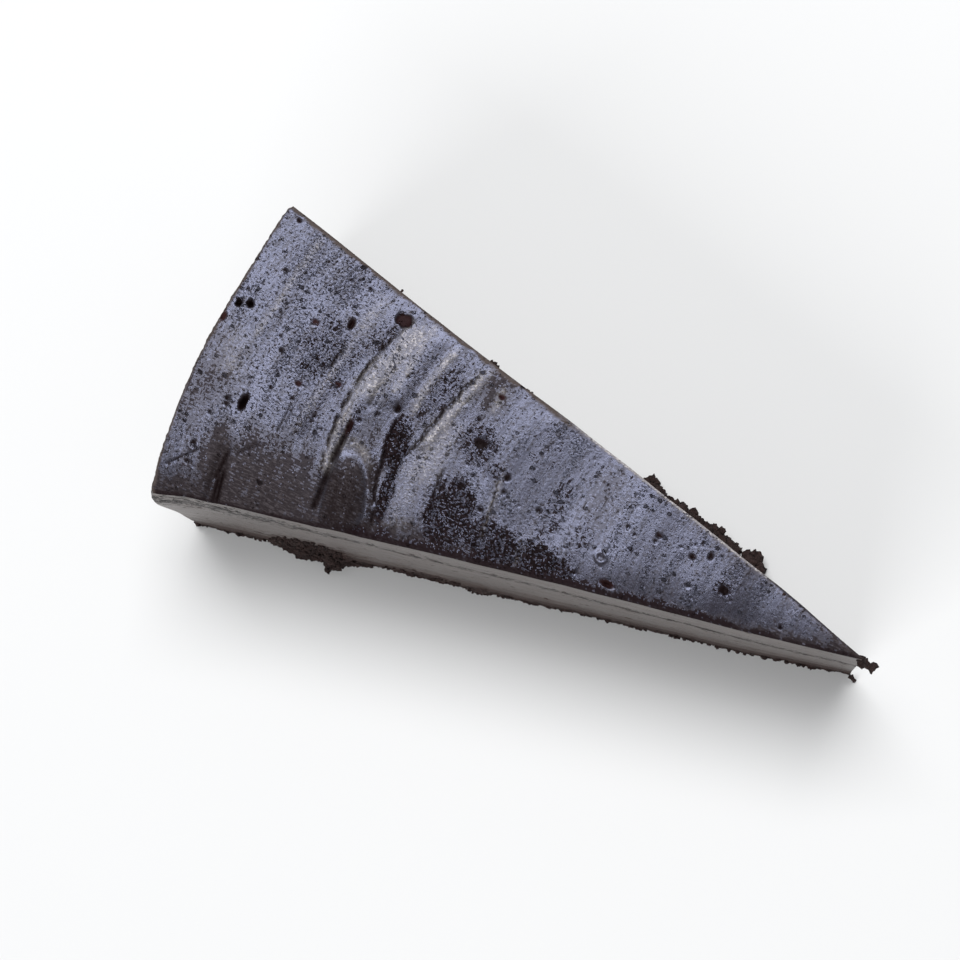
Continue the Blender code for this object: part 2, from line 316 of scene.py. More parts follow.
class CakeShape(bpy.types.PropertyGroup):
    skin_cell: bpy.props.FloatProperty(
        name="Skin cell", description="Size of the faces of the top", default=0.235 * MM,
        min=0.15 * MM, unit="LENGTH", precision=5)
    side_cell: bpy.props.FloatProperty(
        name="Side cell", description="Width of the faces of the cut sides", default=0.30 * MM,
        min=0.15 * MM, unit="LENGTH", precision=5)
    wrinkles: bpy.props.FloatProperty(
        name="Wrinkles", description="Height of the skin's fine wrinkles", default=0.045 * MM,
        min=0, unit="LENGTH", precision=5)
    pores: bpy.props.IntProperty(
        name="Pores", description="How many open pores the skin has", default=140, min=0)
    seam_gap: bpy.props.FloatProperty(
        name="Seam gap", description="Widest opening of the crack between the layers",
        default=0.34 * MM, min=0, unit="LENGTH", precision=5)
    heap_crumbs: bpy.props.IntProperty(
        name="Heap crumbs", description="Loose crumbs on the mound at the far cut", default=620, min=0)


class CakeColours(bpy.types.PropertyGroup):
    bloom: bpy.props.FloatVectorProperty(
        name="Bloom", description="Skin with its faint blue-grey bloom", subtype="COLOR", size=4,
        default=(0.020, 0.016, 0.019, 1), min=0, max=1)
    # Bare skin's colour also paints the shade along the near edge.
    bare: bpy.props.FloatVectorProperty(
        name="Bare skin", description="Wet, porous skin", subtype="COLOR", size=4,
        default=(0.010, 0.005, 0.006, 1), min=0, max=1)
    # Brown skin's colour also paints shade in a strip along the near edge.
    brown: bpy.props.FloatVectorProperty(
        name="Brown skin", description="Dull, smooth skin", subtype="COLOR", size=4,
        default=(0.016, 0.011, 0.011, 1), min=0, max=1)
    # This pale colour also paints a highlight along the far edge and glints on the crests of dusty skin.
    dusty: bpy.props.FloatVectorProperty(
        name="Dusty skin", description="Pale crests of the wrinkles", subtype="COLOR", size=4,
        default=(0.480, 0.440, 0.420, 1), min=0, max=1)
    ruddy: bpy.props.FloatVectorProperty(
        name="Ruddy", description="Red-brown floors of some hollows", subtype="COLOR", size=4,
        default=(0.032, 0.013, 0.013, 1), min=0, max=1)
    filling: bpy.props.FloatVectorProperty(
        name="Filling", description="Cut chocolate filling", subtype="COLOR", size=4,
        default=(0.036, 0.021, 0.016, 1), min=0, max=1)
    smear: bpy.props.FloatVectorProperty(
        name="Smear", description="Paler drag marks of the knife", subtype="COLOR", size=4,
        default=(0.068, 0.046, 0.039, 1), min=0, max=1)
    crumb: bpy.props.FloatVectorProperty(
        name="Crumb", description="Cookie crumbs of the base", subtype="COLOR", size=4,
        default=(0.034, 0.019, 0.017, 1), min=0, max=1)


class CakeStage(bpy.types.PropertyGroup):
    floor: bpy.props.FloatVectorProperty(
        name="Floor", description="Colour of the floor", subtype="COLOR", size=4,
        default=(0.74, 0.735, 0.73, 1), min=0, max=1)
    window: bpy.props.FloatProperty(
        name="Window light", description="Power of the large soft light", default=88,
        min=0, subtype="POWER")
    fill: bpy.props.FloatProperty(
        name="Fill light", description="Power of the low soft light that faces the near cut",
        default=50, min=0, subtype="POWER")
    sky: bpy.props.FloatProperty(
        name="Surroundings", description="Brightness of the room", default=0.26, min=0)


# ---- Fields: smooth functions over arrays of points ----


def wave(x, y, z=0.0):
    """Smooth noise from about -1 to 1 at each point, the same each run. Fields over x and y differ by z."""
    x, y, z = np.broadcast_arrays(x, y, z)
    points = zip(x.ravel().tolist(), y.ravel().tolist(), z.ravel().tolist())
    return np.array([noise.noise(point) for point in points]).reshape(x.shape)


def bell(x):
    """1 at 0, falling smoothly to 0 on both sides."""
    return np.exp(-np.square(x))


def ramp(x):
    """0 below 0, 1 above 1, and smooth between."""
    x = np.clip(x, 0.0, 1.0)
    return x * x * (3 - 2 * x)


def between(value, low, high):
    """1 between low and high, fading to 0 past both ends."""
    return ramp((value - low) / FADE) * ramp((high - value) / FADE)


def band(mark, reach, side):
    """How far a point lies tipwards (below 0) or rimwards of a wrinkle's or streak's line."""
    return reach - (mark.reach + mark.lean * side - mark.curl * side * side)


def flow_line(reach, side):
    """Reach at which the streak of skin through a point crosses the slice's middle."""
    return reach + FLOW_CURL * side * side


def oval(mark, reach, side):
    """Distance from an oval's middle: 1 on its outline."""
    return np.hypot((reach - mark.reach) / mark.half_reach, (side - mark.side) / mark.half_side)


def patches(marks, reach, side, sharp=SHARP):
    """Strongest of some soft patches, whose outlines are ragged along the wrinkles."""
    ragged = 0.45 * wave(reach / 1.7, side / 4, 3.0)
    ragged += 0.30 * wave(reach / 0.6, side / 1.4, 9.0)
    ragged *= sharp / SHARP
    strongest = np.zeros_like(reach)
    for mark in marks:
        off = np.hypot(
            (reach - mark.reach - mark.lean * (side - mark.side)) / mark.half_reach,
            (side - mark.side) / mark.half_side,
        )
        strongest = np.maximum(strongest, mark.strength * ramp(sharp * (1 - off) + 0.35 + ragged))
    return strongest


def streak_field(reach, side):
    """Strongest of the pale streaks, broken up along their length."""
    broken = 0.85 + 0.60 * wave(reach / 0.9, side / 3.5, 6.0)
    strongest = np.zeros_like(reach)
    for mark in STREAKS:
        press = bell(band(mark, reach, side) / mark.width) * between(side, mark.low, mark.high)
        strongest = np.maximum(strongest, mark.strength * press)
    arch = 0.5 * bell((tongue_edge(reach, side) - 1.14) / 0.13) * ramp((side + 9) / FADE)
    return np.clip(np.maximum(strongest, arch) * broken, 0, 1)


# ---- The slice's outline and layers, as the solids have them ----


def plan(share, across):
    """Reach and side of a point of the slice's plan: share runs from tip to rim, across from -1 to 1."""
    rim = CAKE_RADIUS + RIM_FLARE * ramp(2 * across - 1) - CORNER_TRIM * ramp(25 * np.abs(across) - 24)
    radius = TIP_CUT + share * (rim - TIP_CUT)
    angle = across * HALF_ANGLE
    return radius * np.cos(angle), radius * np.sin(angle)


def lean(share, across, height):
    """How far a point of the plan moves sideways at a height, because the cuts stray from flat."""
    far = across * FAR_BOW * ramp(6 * share) * (1 - ramp(3 * share - 1.2))
    up = height / TOTAL_HEIGHT
    top_in = NEAR_TOP_IN * ramp(1.8 * share) * (1 - 0.7 * ramp(20 * share - 19))
    foot_out = NEAR_FOOT_OUT * ramp(5 * share + 0.2)
    near = across * (foot_out * (1 - up) - top_in * up)
    return np.where(across > 0, far, near)


def seam_height(reach):
    """Height of the sloping seam between the filling and the top layer."""
    return SEAM_AT_TIP + (SEAM_AT_RIM - SEAM_AT_TIP) * reach / CAKE_RADIUS


def spill_out(spills, reach, height):
    """How far crumbs stand out of the base at a point of a cut: most at the bottom."""
    lumps = 0.85 + 0.45 * wave(reach / LUMP, 1.3 * height / LUMP, 5.0)
    out = np.zeros_like(reach)
    for spill in spills:
        out = np.maximum(out, spill.out * lumps * ramp(1.4 * (1 - np.abs(reach - spill.reach) / spill.half)))
    return out * ramp(1.9 * (1 - height / BASE_HEIGHT))


def roll_down(roll, inside):
    """Drop of the top's rolled edge at a distance inside the outline."""
    left = np.clip(1 - inside / roll.width, 0, 1)
    return roll.drop * (1 - np.sqrt(1 - left * left))


def skin_height(reach, side):
    """Height of the top without its rolled edge, fine wrinkles or pores."""
    height = TOTAL_HEIGHT - DISH * np.square(1 - reach / CAKE_RADIUS)
    height += SWELL * wave(reach / SWELL_SPAN.x, side / SWELL_SPAN.y)
    for wrinkle in WRINKLES:
        off = band(wrinkle, reach, side) / wrinkle.width
        off = np.where(off > 0, off * wrinkle.steep, off)
        height += wrinkle.height * bell(off) * between(side, wrinkle.low, wrinkle.high)
    edge = tongue_edge(reach, side)
    height += TONGUE_HEIGHT * ramp(1.15 * (1.02 - edge)) - TONGUE_MOAT * bell((edge - 1.0) / 0.2)
    inside = (side + reach * math.tan(HALF_ANGLE)) * math.cos(HALF_ANGLE)
    slope = np.clip(1 - inside / NEAR_SLOPE.width, 0, 1)
    return height - NEAR_SLOPE.drop * slope * slope


def tongue_edge(reach, side):
    """Distance from the middle of the tongue-like fold: 1 on its outline."""
    across = (reach - TONGUE_CENTRE.x - TONGUE_LEAN * (side - TONGUE_CENTRE.y)) / TONGUE_HALF.x
    along = np.maximum(0.0, side - TONGUE_CENTRE.y) / TONGUE_HALF.y
    return np.hypot(across, along)


def splits(reach, side):
    """Depth of the creases and cracks in the skin, and their painted shade."""
    depth, dark = np.zeros_like(reach), np.zeros_like(reach)
    for crease in CREASES:
        run = crease.end - crease.start
        x, y = reach - crease.start.x, side - crease.start.y
        share = np.clip((x * run.x + y * run.y) / run.length_squared, 0, 1)
        off = np.hypot(x - run.x * share, y - run.y * share)
        off += min(0.25 * crease.width, 0.08) * wave(reach, side, 31.0)
        press = bell(off / crease.width) * ramp(2.2 * share)
        depth = np.maximum(depth, crease.depth * press)
        dark = np.maximum(dark, crease.dark * press)
    for crack in CRACKS:
        wander = 0.50 * wave(side / 2.6, crack.reach, 33.0)
        wander += 0.28 * wave(side / 0.7, crack.reach, 34.0)
        wander += 0.14 * wave(side / 0.3, crack.reach, 36.0)
        off = (band(crack, reach, side) + wander) / crack.width
        broken = ramp(1.1 + 2.2 * wave(side / 2.4, crack.reach, 35.0))
        press = bell(off) * between(side, crack.low, crack.high) * broken
        depth = np.maximum(depth, crack.depth * press)
        dark = np.maximum(dark, crack.dark * press)
    return depth, dark


def fine_wrinkles(reach, side):
    """Fine streaky relief of the skin, from about -1 to 1, along the curl of the big wrinkles."""
    flow = flow_line(reach, side)
    bend = 1.1 * wave(reach / 7, side / 9, 4.0)
    broad = wave((flow + bend) / 3.2, side / 16, 1.0)
    narrow = wave((flow + bend) / 1.1, side / 6, 2.0)
    grain = wave(reach / 0.55, side / 0.8, 8.0)
    return 0.9 * broad + 0.30 * narrow + 0.25 * grain


# ---- Modelling helpers ----


def deselect():
    """Leaves object mode with nothing selected."""
    if bpy.context.object and bpy.context.object.mode != "OBJECT":
        bpy.ops.object.mode_set(mode="OBJECT")
    bpy.ops.object.select_all(action="DESELECT")


def coordinates(piece):
    """The piece's vertices as an array of rows."""
    points = np.empty(len(piece.data.vertices) * 3)
    piece.data.vertices.foreach_get("co", points)
    return points.reshape(-1, 3)


def place(piece, points):
    """Moves the piece's vertices to the rows of an array in millimetres."""
    piece.data.vertices.foreach_set("co", np.ascontiguousarray(points * MM).ravel())
    piece.data.update()


def mark_points(piece, **fields):
    """Stores values for each vertex, which materials read by name."""
    for name, values in fields.items():
        store = piece.data.attributes.new(name, "FLOAT", "POINT")
        store.data.foreach_set("value", np.ascontiguousarray(values, dtype=np.float32))


def face_outwards(piece, smooth_angle):
    """Points the piece's faces outwards and shades it smooth between sharp edges."""
    deselect()
    bpy.context.view_layer.objects.active = piece
    piece.select_set(True)
    bpy.ops.object.mode_set(mode="EDIT")
    bpy.ops.mesh.select_all(action="SELECT")
    bpy.ops.mesh.normals_make_consistent(inside=False)
    bpy.ops.object.mode_set(mode="OBJECT")
    bpy.ops.object.shade_smooth_by_angle(angle=math.radians(smooth_angle))


def join_body(piece, slot, *nodes):
    """Lets a finished piece move with the slice and stand for its nodes."""
    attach(piece, "root")
    if nodes:
        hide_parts(*nodes)


def prism(name, columns, rows):
    """A closed prism of radius 1 with many-sided ends, from z = 0 to z = 1."""
    deselect()
    bpy.ops.mesh.primitive_circle_add(vertices=columns, radius=1, fill_type="NGON")
    piece = bpy.context.object
    piece.name = name
    bpy.ops.object.mode_set(mode="EDIT")
    bpy.ops.mesh.select_all(action="SELECT")
    bpy.ops.mesh.extrude_region_move(TRANSFORM_OT_translate={"value": (0, 0, 1)})
    bpy.ops.mesh.select_all(action="DESELECT")
    bpy.ops.object.mode_set(mode="OBJECT")
    heights = coordinates(piece)[:, 2]
    ends = np.empty(len(piece.data.edges) * 2, dtype=np.int32)
    piece.data.edges.foreach_get("vertices", ends)
    ends = heights[ends].reshape(-1, 2)
    piece.data.edges.foreach_set("select", np.abs(ends[:, 0] - ends[:, 1]) > 0.5)
    bpy.ops.object.mode_set(mode="EDIT")
    bpy.ops.mesh.select_mode(type="EDGE")
    bpy.ops.mesh.subdivide(number_cuts=rows - 1)
    bpy.ops.object.mode_set(mode="OBJECT")
    return piece


def round_outline(turn):
    """Share, across and side of points on the slice's outline, by how far round it they lie, from 0 to 1."""
    arc = 2 * HALF_ANGLE * CAKE_RADIUS
    tip = 2 * HALF_ANGLE * TIP_CUT
    cut = CAKE_RADIUS - TIP_CUT
    run = turn * (2 * cut + arc + tip)
    on_far = run < cut
    on_rim = (run >= cut) & (run < cut + arc)
    on_near = (run >= cut + arc) & (run < 2 * cut + arc)
    share = np.select([on_far, on_rim, on_near], [run / cut, 1.0, (2 * cut + arc - run) / cut], 0.0)
    rim_across = 1 - 2 * (run - cut) / arc
    tip_across = -1 + 2 * (run - 2 * cut - arc) / tip
    across = np.select([on_far, on_rim, on_near], [1.0, rim_across, -1.0], tip_across)
    which = np.select([on_far, on_rim], [FAR, RIM], NEAR)
    return share, across, which


def at_outline(share, across, which):
    """Points of the slice's plan: reach and side, and how far along its side each lies."""
    reach, side = plan(share, across)
    along = np.where(which == RIM, side, reach)
    return SimpleNamespace(share=share, across=across, which=which, reach=reach, side=side, along=along)


def cut_relief(at, height):
    """How far a cut side stands out: long, low drag marks of the knife and a slow wander."""
    lane = 5.0 * at.which
    drag = wave(at.along / 12, height / 3, lane)
    drag += 0.5 * wave(at.along / 3, height / 1.8, lane + 2)
    return 0.035 * drag + 0.13 * wave(at.along / 9, height / 12, 7.0 + at.which)


def tear_chance(reach, height):
    """How likely the cut is torn: most along the seam and, near the rim, above it."""
    from_seam = height - seam_height(reach)
    rimwards = ramp((reach - 85) / 25)
    above = bell((from_seam - 2.0) / 3.5) * rimwards
    return np.maximum(bell(from_seam / (2.2 + 3.0 * rimwards)), 0.8 * above)


def cut_holes(at, height):
    """Depth, from 0 to 1, of the torn pits of a cut."""
    lane = 11.0 + 5.0 * at.which
    torn = wave(at.along / 1.9, height / 1.5, lane)
    torn += 0.45 * wave(at.along / 0.8, height / 0.7, lane + 1)
    torn += 0.5 * wave(at.along / 6, height / 5, lane + 3)
    return ramp(5.0 * (torn - 0.80 + 0.45 * tear_chance(at.reach, height)))


def corner_inset(at, height):
    """How far the near rim corner is pushed in at a height: it bulges under the top, its foot is worn."""
    off = np.hypot(1 - at.share, (1 + at.across) * HALF_ANGLE) * CAKE_RADIUS
    worn = 0.4 * ramp((12 - height) / 12) * bell(off / 4)
    under = ramp((TOTAL_HEIGHT - 0.4 - height) / 4)
    return worn - 1.45 * under * bell((height - 30) / 10) * bell(off / 5)


def wall_point(at, height, stand):
    """Places of points on the slice's side, at a height, that stand out by stand."""
    inset = 0.7 * corner_inset(at, height)
    reach, side = plan(at.share, at.across)
    side = side + inset + lean(at.share, at.across, height)
    angle = at.across * HALF_ANGLE
    out_x = np.where(at.which == RIM, np.cos(angle), -math.sin(HALF_ANGLE))
    out_y = np.where(at.which == RIM, np.sin(angle), at.which * math.cos(HALF_ANGLE))
    return np.stack((CENTRE_X - (reach - inset) - out_x * stand, side + out_y * stand, height), axis=1)


def seam_opening(reach, shape):
    """How wide the crack between filling and top layer gapes: most towards the tip."""
    return shape.seam_gap / MM * (0.12 + 0.88 * ramp((62 - reach) / 30))


# ---- Shader groups and materials ----


def node(tree, kind, inputs=None, **settings):
    """Adds a node. Its inputs are values, or outputs of other nodes that feed it."""
    made = tree.nodes.new("ShaderNode" + kind)
    for name, value in settings.items():
        setattr(made, name, value)
    for key, value in (inputs or {}).items():
        socket = made.inputs[key]
        if isinstance(value, bpy.types.NodeSocket):
            tree.links.new(value, socket)
        else:
            socket.default_value = value
    return made


def maths(tree, operation, first, second=0.0, third=0.0, clamp=False):
    """Output of a Math node."""
    made = node(tree, "Math", {0: first, 1: second, 2: third}, operation=operation, use_clamp=clamp)
    return made.outputs[0]


def scaled(tree, value, factor, shift=0.0, clamp=False):
    """Output of a Math node: value times factor plus shift."""
    return maths(tree, "MULTIPLY_ADD", value, factor, shift, clamp)


def blend(tree, share, first, second):
    """Output of a colour mix: the first where share is 0, the second where it is 1."""
    made = node(tree, "Mix", {0: share, 6: first, 7: second}, data_type="RGBA")
    return made.outputs[2]


def shade(colour, factor):
    """A darker or lighter colour."""
    return (*(factor * part for part in colour[:3]), 1)


def stored(tree, name):
    """A value that mark_points stored."""
    return node(tree, "Attribute", attribute_name=name).outputs["Fac"]


def stretched(tree, vector, x, y, z):
    """Coordinates counted in features that are this long, in the coordinates' unit."""
    scale = (1 / x, 1 / y, 1 / z)
    return node(tree, "Mapping", {"Vector": vector, "Scale": scale}, vector_type="POINT").outputs[0]


def speckle(tree, vector, detail=2.0, roughness=0.5, warp=0.0):
    """Noise from 0 to 1 over coordinates that are counted in features."""
    inputs = {"Vector": vector, "Scale": 1.0, "Detail": detail, "Roughness": roughness, "Distortion": warp}
    return node(tree, "TexNoise", inputs).outputs["Fac"]


def ranged(tree, value, low, high, to_low=0.0, to_high=1.0):
    """Value moved smoothly from one range to another."""
    inputs = {"Value": value, 1: low, 2: high, 3: to_low, 4: to_high}
    return node(tree, "MapRange", inputs, interpolation_type="SMOOTHSTEP").outputs[0]


def shader_group(name, inputs, outputs):
    """A new node group with float inputs, besides Vector, and float outputs."""
    tree = bpy.data.node_groups.new(name, "ShaderNodeTree")
    tree.interface.new_socket("Vector", in_out="INPUT", socket_type="NodeSocketVector")
    for label, default in inputs.items():
        socket = tree.interface.new_socket(label, in_out="INPUT", socket_type="NodeSocketFloat")
        socket.default_value = default
    for label in outputs:
        tree.interface.new_socket(label, in_out="OUTPUT", socket_type="NodeSocketFloat")
    return tree, tree.nodes.new("NodeGroupInput").outputs, tree.nodes.new("NodeGroupOutput").inputs


def pores_group():
    """Small round pits of mixed size. Amount is the share of cells that hold one."""
    tree, given, result = shader_group("Pores", {"Size": 0.7, "Amount": 0.5}, ("Mask", "Height"))
    scale = maths(tree, "DIVIDE", 1.0, given["Size"])
    points = node(tree, "VectorMath", {0: given["Vector"], "Scale": scale}, operation="SCALE").outputs[0]
    ragged = node(tree, "TexNoise", {"Vector": points, "Scale": 3.2, "Detail": 1.0}).outputs["Color"]
    points = node(tree, "VectorMath", {0: ragged, 1: (0.42, 0.42, 0.42), 2: points},
                  operation="MULTIPLY_ADD").outputs[0]
    cells = node(tree, "TexVoronoi", {"Vector": points, "Scale": 1.0, "Randomness": 0.9})
    parts = node(tree, "SeparateColor", {"Color": cells.outputs["Color"]}).outputs
    present = ranged(tree, maths(tree, "SUBTRACT", given["Amount"], parts["Red"]), -0.02, 0.10)
    radius = scaled(tree, parts["Green"], 0.22, 0.09)
    radius = scaled(tree, radius, present)
    depth = maths(tree, "SUBTRACT", radius, cells.outputs["Distance"])
    mask = ranged(tree, depth, -0.02, 0.10)
    lip = ranged(tree, depth, -0.16, -0.03)
    lip = scaled(tree, lip, present)
    height = scaled(tree, lip, 0.75, scaled(tree, mask, -1.0))
    tree.links.new(mask, result["Mask"])
    tree.links.new(height, result["Height"])
    return tree


def grain_group():
    """Rough fine relief, from 0 to 1, and a mask of its crests."""
    tree, given, result = shader_group("Grain", {"Size": 0.4}, ("Height", "Crests"))
    scale = maths(tree, "DIVIDE", 1.0, given["Size"])
    points = node(tree, "VectorMath", {0: given["Vector"], "Scale": scale}, operation="SCALE").outputs[0]
    coarse = speckle(tree, points, detail=3.0, roughness=0.6)
    tree.links.new(coarse, result["Height"])
    tree.links.new(ranged(tree, coarse, 0.50, 0.66), result["Crests"])
    return tree


def drag_group():
    """Long level marks that a knife leaves, from 0 to 1."""
    tree, given, result = shader_group("Drag", {"Length": 12, "Width": 0.5}, ("Height",))
    parts = node(tree, "SeparateXYZ", {0: given["Vector"]}).outputs
    x = maths(tree, "DIVIDE", parts["X"], given["Length"])
    y = maths(tree, "DIVIDE", parts["Y"], given["Length"])
    z = maths(tree, "DIVIDE", parts["Z"], given["Width"])
    points = node(tree, "CombineXYZ", {"X": x, "Y": y, "Z": z}).outputs[0]
    tree.links.new(speckle(tree, points, detail=4.0, roughness=0.6, warp=0.3), result["Height"])
    return tree


def use_group(tree, name, vector, **values):
    """Outputs of a shader group, which is built the first time."""
    makers = {"Pores": pores_group, "Grain": grain_group, "Drag": drag_group}
    group = bpy.data.node_groups.get(name) or makers[name]()
    made = tree.nodes.new("ShaderNodeGroup")
    made.node_tree = group
    tree.links.new(vector, made.inputs["Vector"])
    for label, value in values.items():
        if isinstance(value, bpy.types.NodeSocket):
            tree.links.new(value, made.inputs[label])
        else:
            made.inputs[label].default_value = value
    return made.outputs


def new_material(name):
    """An empty material with a Principled shader, and its object coordinates in millimetres."""
    material = bpy.data.materials.new(name)
    material.use_nodes = True
    tree = material.node_tree
    where = stretched(tree, tree.nodes.new("ShaderNodeTexCoord").outputs["Object"], MM, MM, MM)
    return material, tree, tree.nodes["Principled BSDF"], where


def bumped(tree, shader, *layers):
    """Feeds the shader's normal from layers of relief, each a height from 0 to 1 and its depth."""
    normal = None
    for height, depth in layers:
        inputs = {"Height": height, "Distance": depth * MM, "Strength": 1.0}
        if normal:
            inputs["Normal"] = normal
        normal = node(tree, "Bump", inputs).outputs[0]
    tree.links.new(normal, shader.inputs["Normal"])


def skin_masks(tree, where):
    """What mixes the skin's looks: the stored values, and noise that follows the streaks of the skin."""
    mask = SimpleNamespace(**{name: stored(tree, name) for name in SKIN_FIELDS})
    parts = node(tree, "SeparateXYZ", {0: where}).outputs
    bow = scaled(tree, scaled(tree, parts["Y"], parts["Y"]), -FLOW_CURL)
    flow = node(tree, "CombineXYZ", {
        "X": maths(tree, "ADD", parts["X"], bow),
        "Y": parts["Y"],
        "Z": scaled(tree, parts["Z"], 0.3),
    }).outputs[0]
    mask.streaks = speckle(tree, stretched(tree, flow, 1.0, 8, 5), detail=3.0, warp=0.4)
    mask.clouds = speckle(tree, stretched(tree, flow, 4, 9, 9), detail=4.0, roughness=0.6)
    mask.pits = use_group(tree, "Pores", stretched(tree, flow, 1.3, 1, 1), Size=1.1,
                          Amount=scaled(tree, mask.porous, 0.2, 0.12))
    mask.grain = use_group(tree, "Grain", flow, Size=0.42)
    mask.fine = use_group(tree, "Grain", flow, Size=0.16)
    worms = speckle(tree, stretched(tree, where, 0.46, 0.36, 1), detail=1.5, warp=0.4)
    reached = scaled(tree, maths(tree, "SUBTRACT", mask.streaks, 0.5), 0.35, mask.porous)
    reached = scaled(tree, maths(tree, "SUBTRACT", mask.clouds, 0.5), 0.50, reached)
    reached = scaled(tree, reached, 0.26, 0.245)
    mask.worms = ranged(tree, maths(tree, "SUBTRACT", reached, worms), -0.03, 0.04)
    return mask


def skin_tone(tree, mask, where, colours):
    """Colour of the skin: blue-grey bloom, then brown, dusty, bare and scuffed, with painted glints, and
    painted shade in its pits, hollows, creases and cracks.
    """
    bloom = blend(tree, ranged(tree, mask.clouds, 0.35, 0.65), colours.bloom, shade(colours.bloom, 0.75))
    # Lighter lavender dashes on brown skin: painted glints.
    marks = speckle(tree, stretched(tree, where, 1.1, 0.32, 1), detail=3.0, roughness=0.7)
    brown = blend(tree, ranged(tree, marks, 0.46, 0.66, 0.0, 0.9), colours.brown, PAINTED_GLINTS_ON_BROWN)
    tone = blend(tree, scaled(tree, mask.brown, 0.9), bloom, brown)
    # Dusty skin is paler on the grain's crests and bare skin lightens there too: painted glints over real
    # pale streaks.
    crest = scaled(tree, mask.grain["Crests"], 0.70, 0.30)
    tone = blend(tree, scaled(tree, mask.dusty, crest), tone, colours.dusty)
    glints = scaled(tree, mask.grain["Crests"], 0.30)
    bare = scaled(tree, mask.bare, maths(tree, "SUBTRACT", 1.0, glints))
    tone = blend(tree, bare, tone, colours.bare)
    tone = blend(tree, scaled(tree, mask.scuffed, 0.85), tone, SCUFF)
    # Pits, worm-like pores, hollows, creases, cracks and the tongue's shade are painted near black: painted
    # shade.
    shaded_pits = maths(tree, "MAXIMUM", maths(tree, "MAXIMUM", mask.pits["Mask"], mask.worms), mask.hollow)
    tone = blend(tree, shaded_pits, tone, PIT_SHADE)
    return blend(tree, mask.ruddy, tone, colours.ruddy)


def skin_material(colours, name):
    """Skin: glossy with a blue-grey bloom, dull and brown, or bare and wet. Crests are dusty, with painted
    glints.
    """
    material, tree, shader, where = new_material(name)
    mask = skin_masks(tree, where)
    tree.links.new(skin_tone(tree, mask, where, colours), shader.inputs["Base Color"])

    shine, matt, tint = SKIN_KINDS[name]
    rough = scaled(tree, mask.streaks, 0.16, matt)
    rough = scaled(tree, mask.dusty, 0.12, rough)
    rough = scaled(tree, mask.scuffed, 0.25, rough)
    rough = scaled(tree, mask.pits["Mask"], 0.40, rough)
    rough = scaled(tree, mask.worms, 0.16, rough, clamp=True)
    tree.links.new(rough, shader.inputs["Roughness"])
    shader.inputs["Specular IOR Level"].default_value = shine
    shader.inputs["Specular Tint"].default_value = tint

    grain_share = scaled(tree, mask.dusty, 0.35, scaled(tree, mask.porous, 0.20, 0.06))
    fine_share = scaled(tree, maths(tree, "MAXIMUM", mask.bare, mask.brown), 0.9, 0.35)
    grain = scaled(tree, mask.grain["Height"], grain_share)
    fine = scaled(tree, mask.fine["Height"], fine_share)
    pits = scaled(tree, mask.worms, -1.0, mask.pits["Height"])
    bumped(tree, shader, (mask.streaks, 0.025), (grain, 0.26), (fine, 0.05), (pits, 0.30))
    return material


def cut_material(colours, name):
    """Satin cut filling, smeared by the knife, with painted shade in its torn holes and pits."""
    material, tree, shader, where = new_material(name)
    holes, crumby = stored(tree, "holes"), stored(tree, "crumby")
    drag = use_group(tree, "Drag", where, Length=10, Width=3)
    hair = use_group(tree, "Drag", where, Length=2.8, Width=1.2)
    grain = use_group(tree, "Grain", where, Size=0.45)
    pits = use_group(tree, "Pores", stretched(tree, where, 1.3, 1.3, 1.1), Size=1.5, Amount=0.12)
    torn_cells = stretched(tree, where, 1.5, 1.5, 0.95)
    tears = speckle(tree, torn_cells, detail=5.0, roughness=0.68, warp=1.0)
    tears = scaled(tree, stored(tree, "torn"), 0.175, tears)
    tears = ranged(tree, tears, 0.625, 0.70)
    tone = blend(tree, ranged(tree, drag["Height"], 0.35, 0.68), colours.filling, colours.smear)
    clouds = speckle(tree, stretched(tree, where, 5, 5, 7), detail=4.0, roughness=0.65)
    tone = blend(tree, ranged(tree, hair["Height"], 0.50, 0.70, 0.0, 0.60), tone, KNIFE_HAIRS)
    tone = blend(tree, ranged(tree, clouds, 0.48, 0.68, 0.0, 0.5), tone, SMEAR_CLOUDS)
    tone = blend(tree, scaled(tree, grain["Crests"], 0.25), tone, colours.smear)
    tone = blend(tree, crumby, tone, colours.crumb)
    # Torn holes, tears and pores are painted near black: painted shade.
    dark = maths(tree, "MAXIMUM", maths(tree, "MAXIMUM", holes, tears), pits["Mask"])
    tone = blend(tree, dark, tone, TORN_SHADE)
    tree.links.new(tone, shader.inputs["Base Color"])
    shader.inputs["Specular IOR Level"].default_value = CUT_KINDS[name]
    rough = scaled(tree, drag["Height"], 0.24, 0.26)
    rough = scaled(tree, crumby, 0.35, rough)
    rough = scaled(tree, dark, 0.40, rough, clamp=True)
    tree.links.new(rough, shader.inputs["Roughness"])
    relief = scaled(tree, grain["Height"], scaled(tree, crumby, 1.5, 0.15))
    bumped(tree, shader, (drag["Height"], 0.14), (hair["Height"], 0.18),
           (relief, 0.15), (pits["Height"], 0.12), (tears, -0.18))
    return material


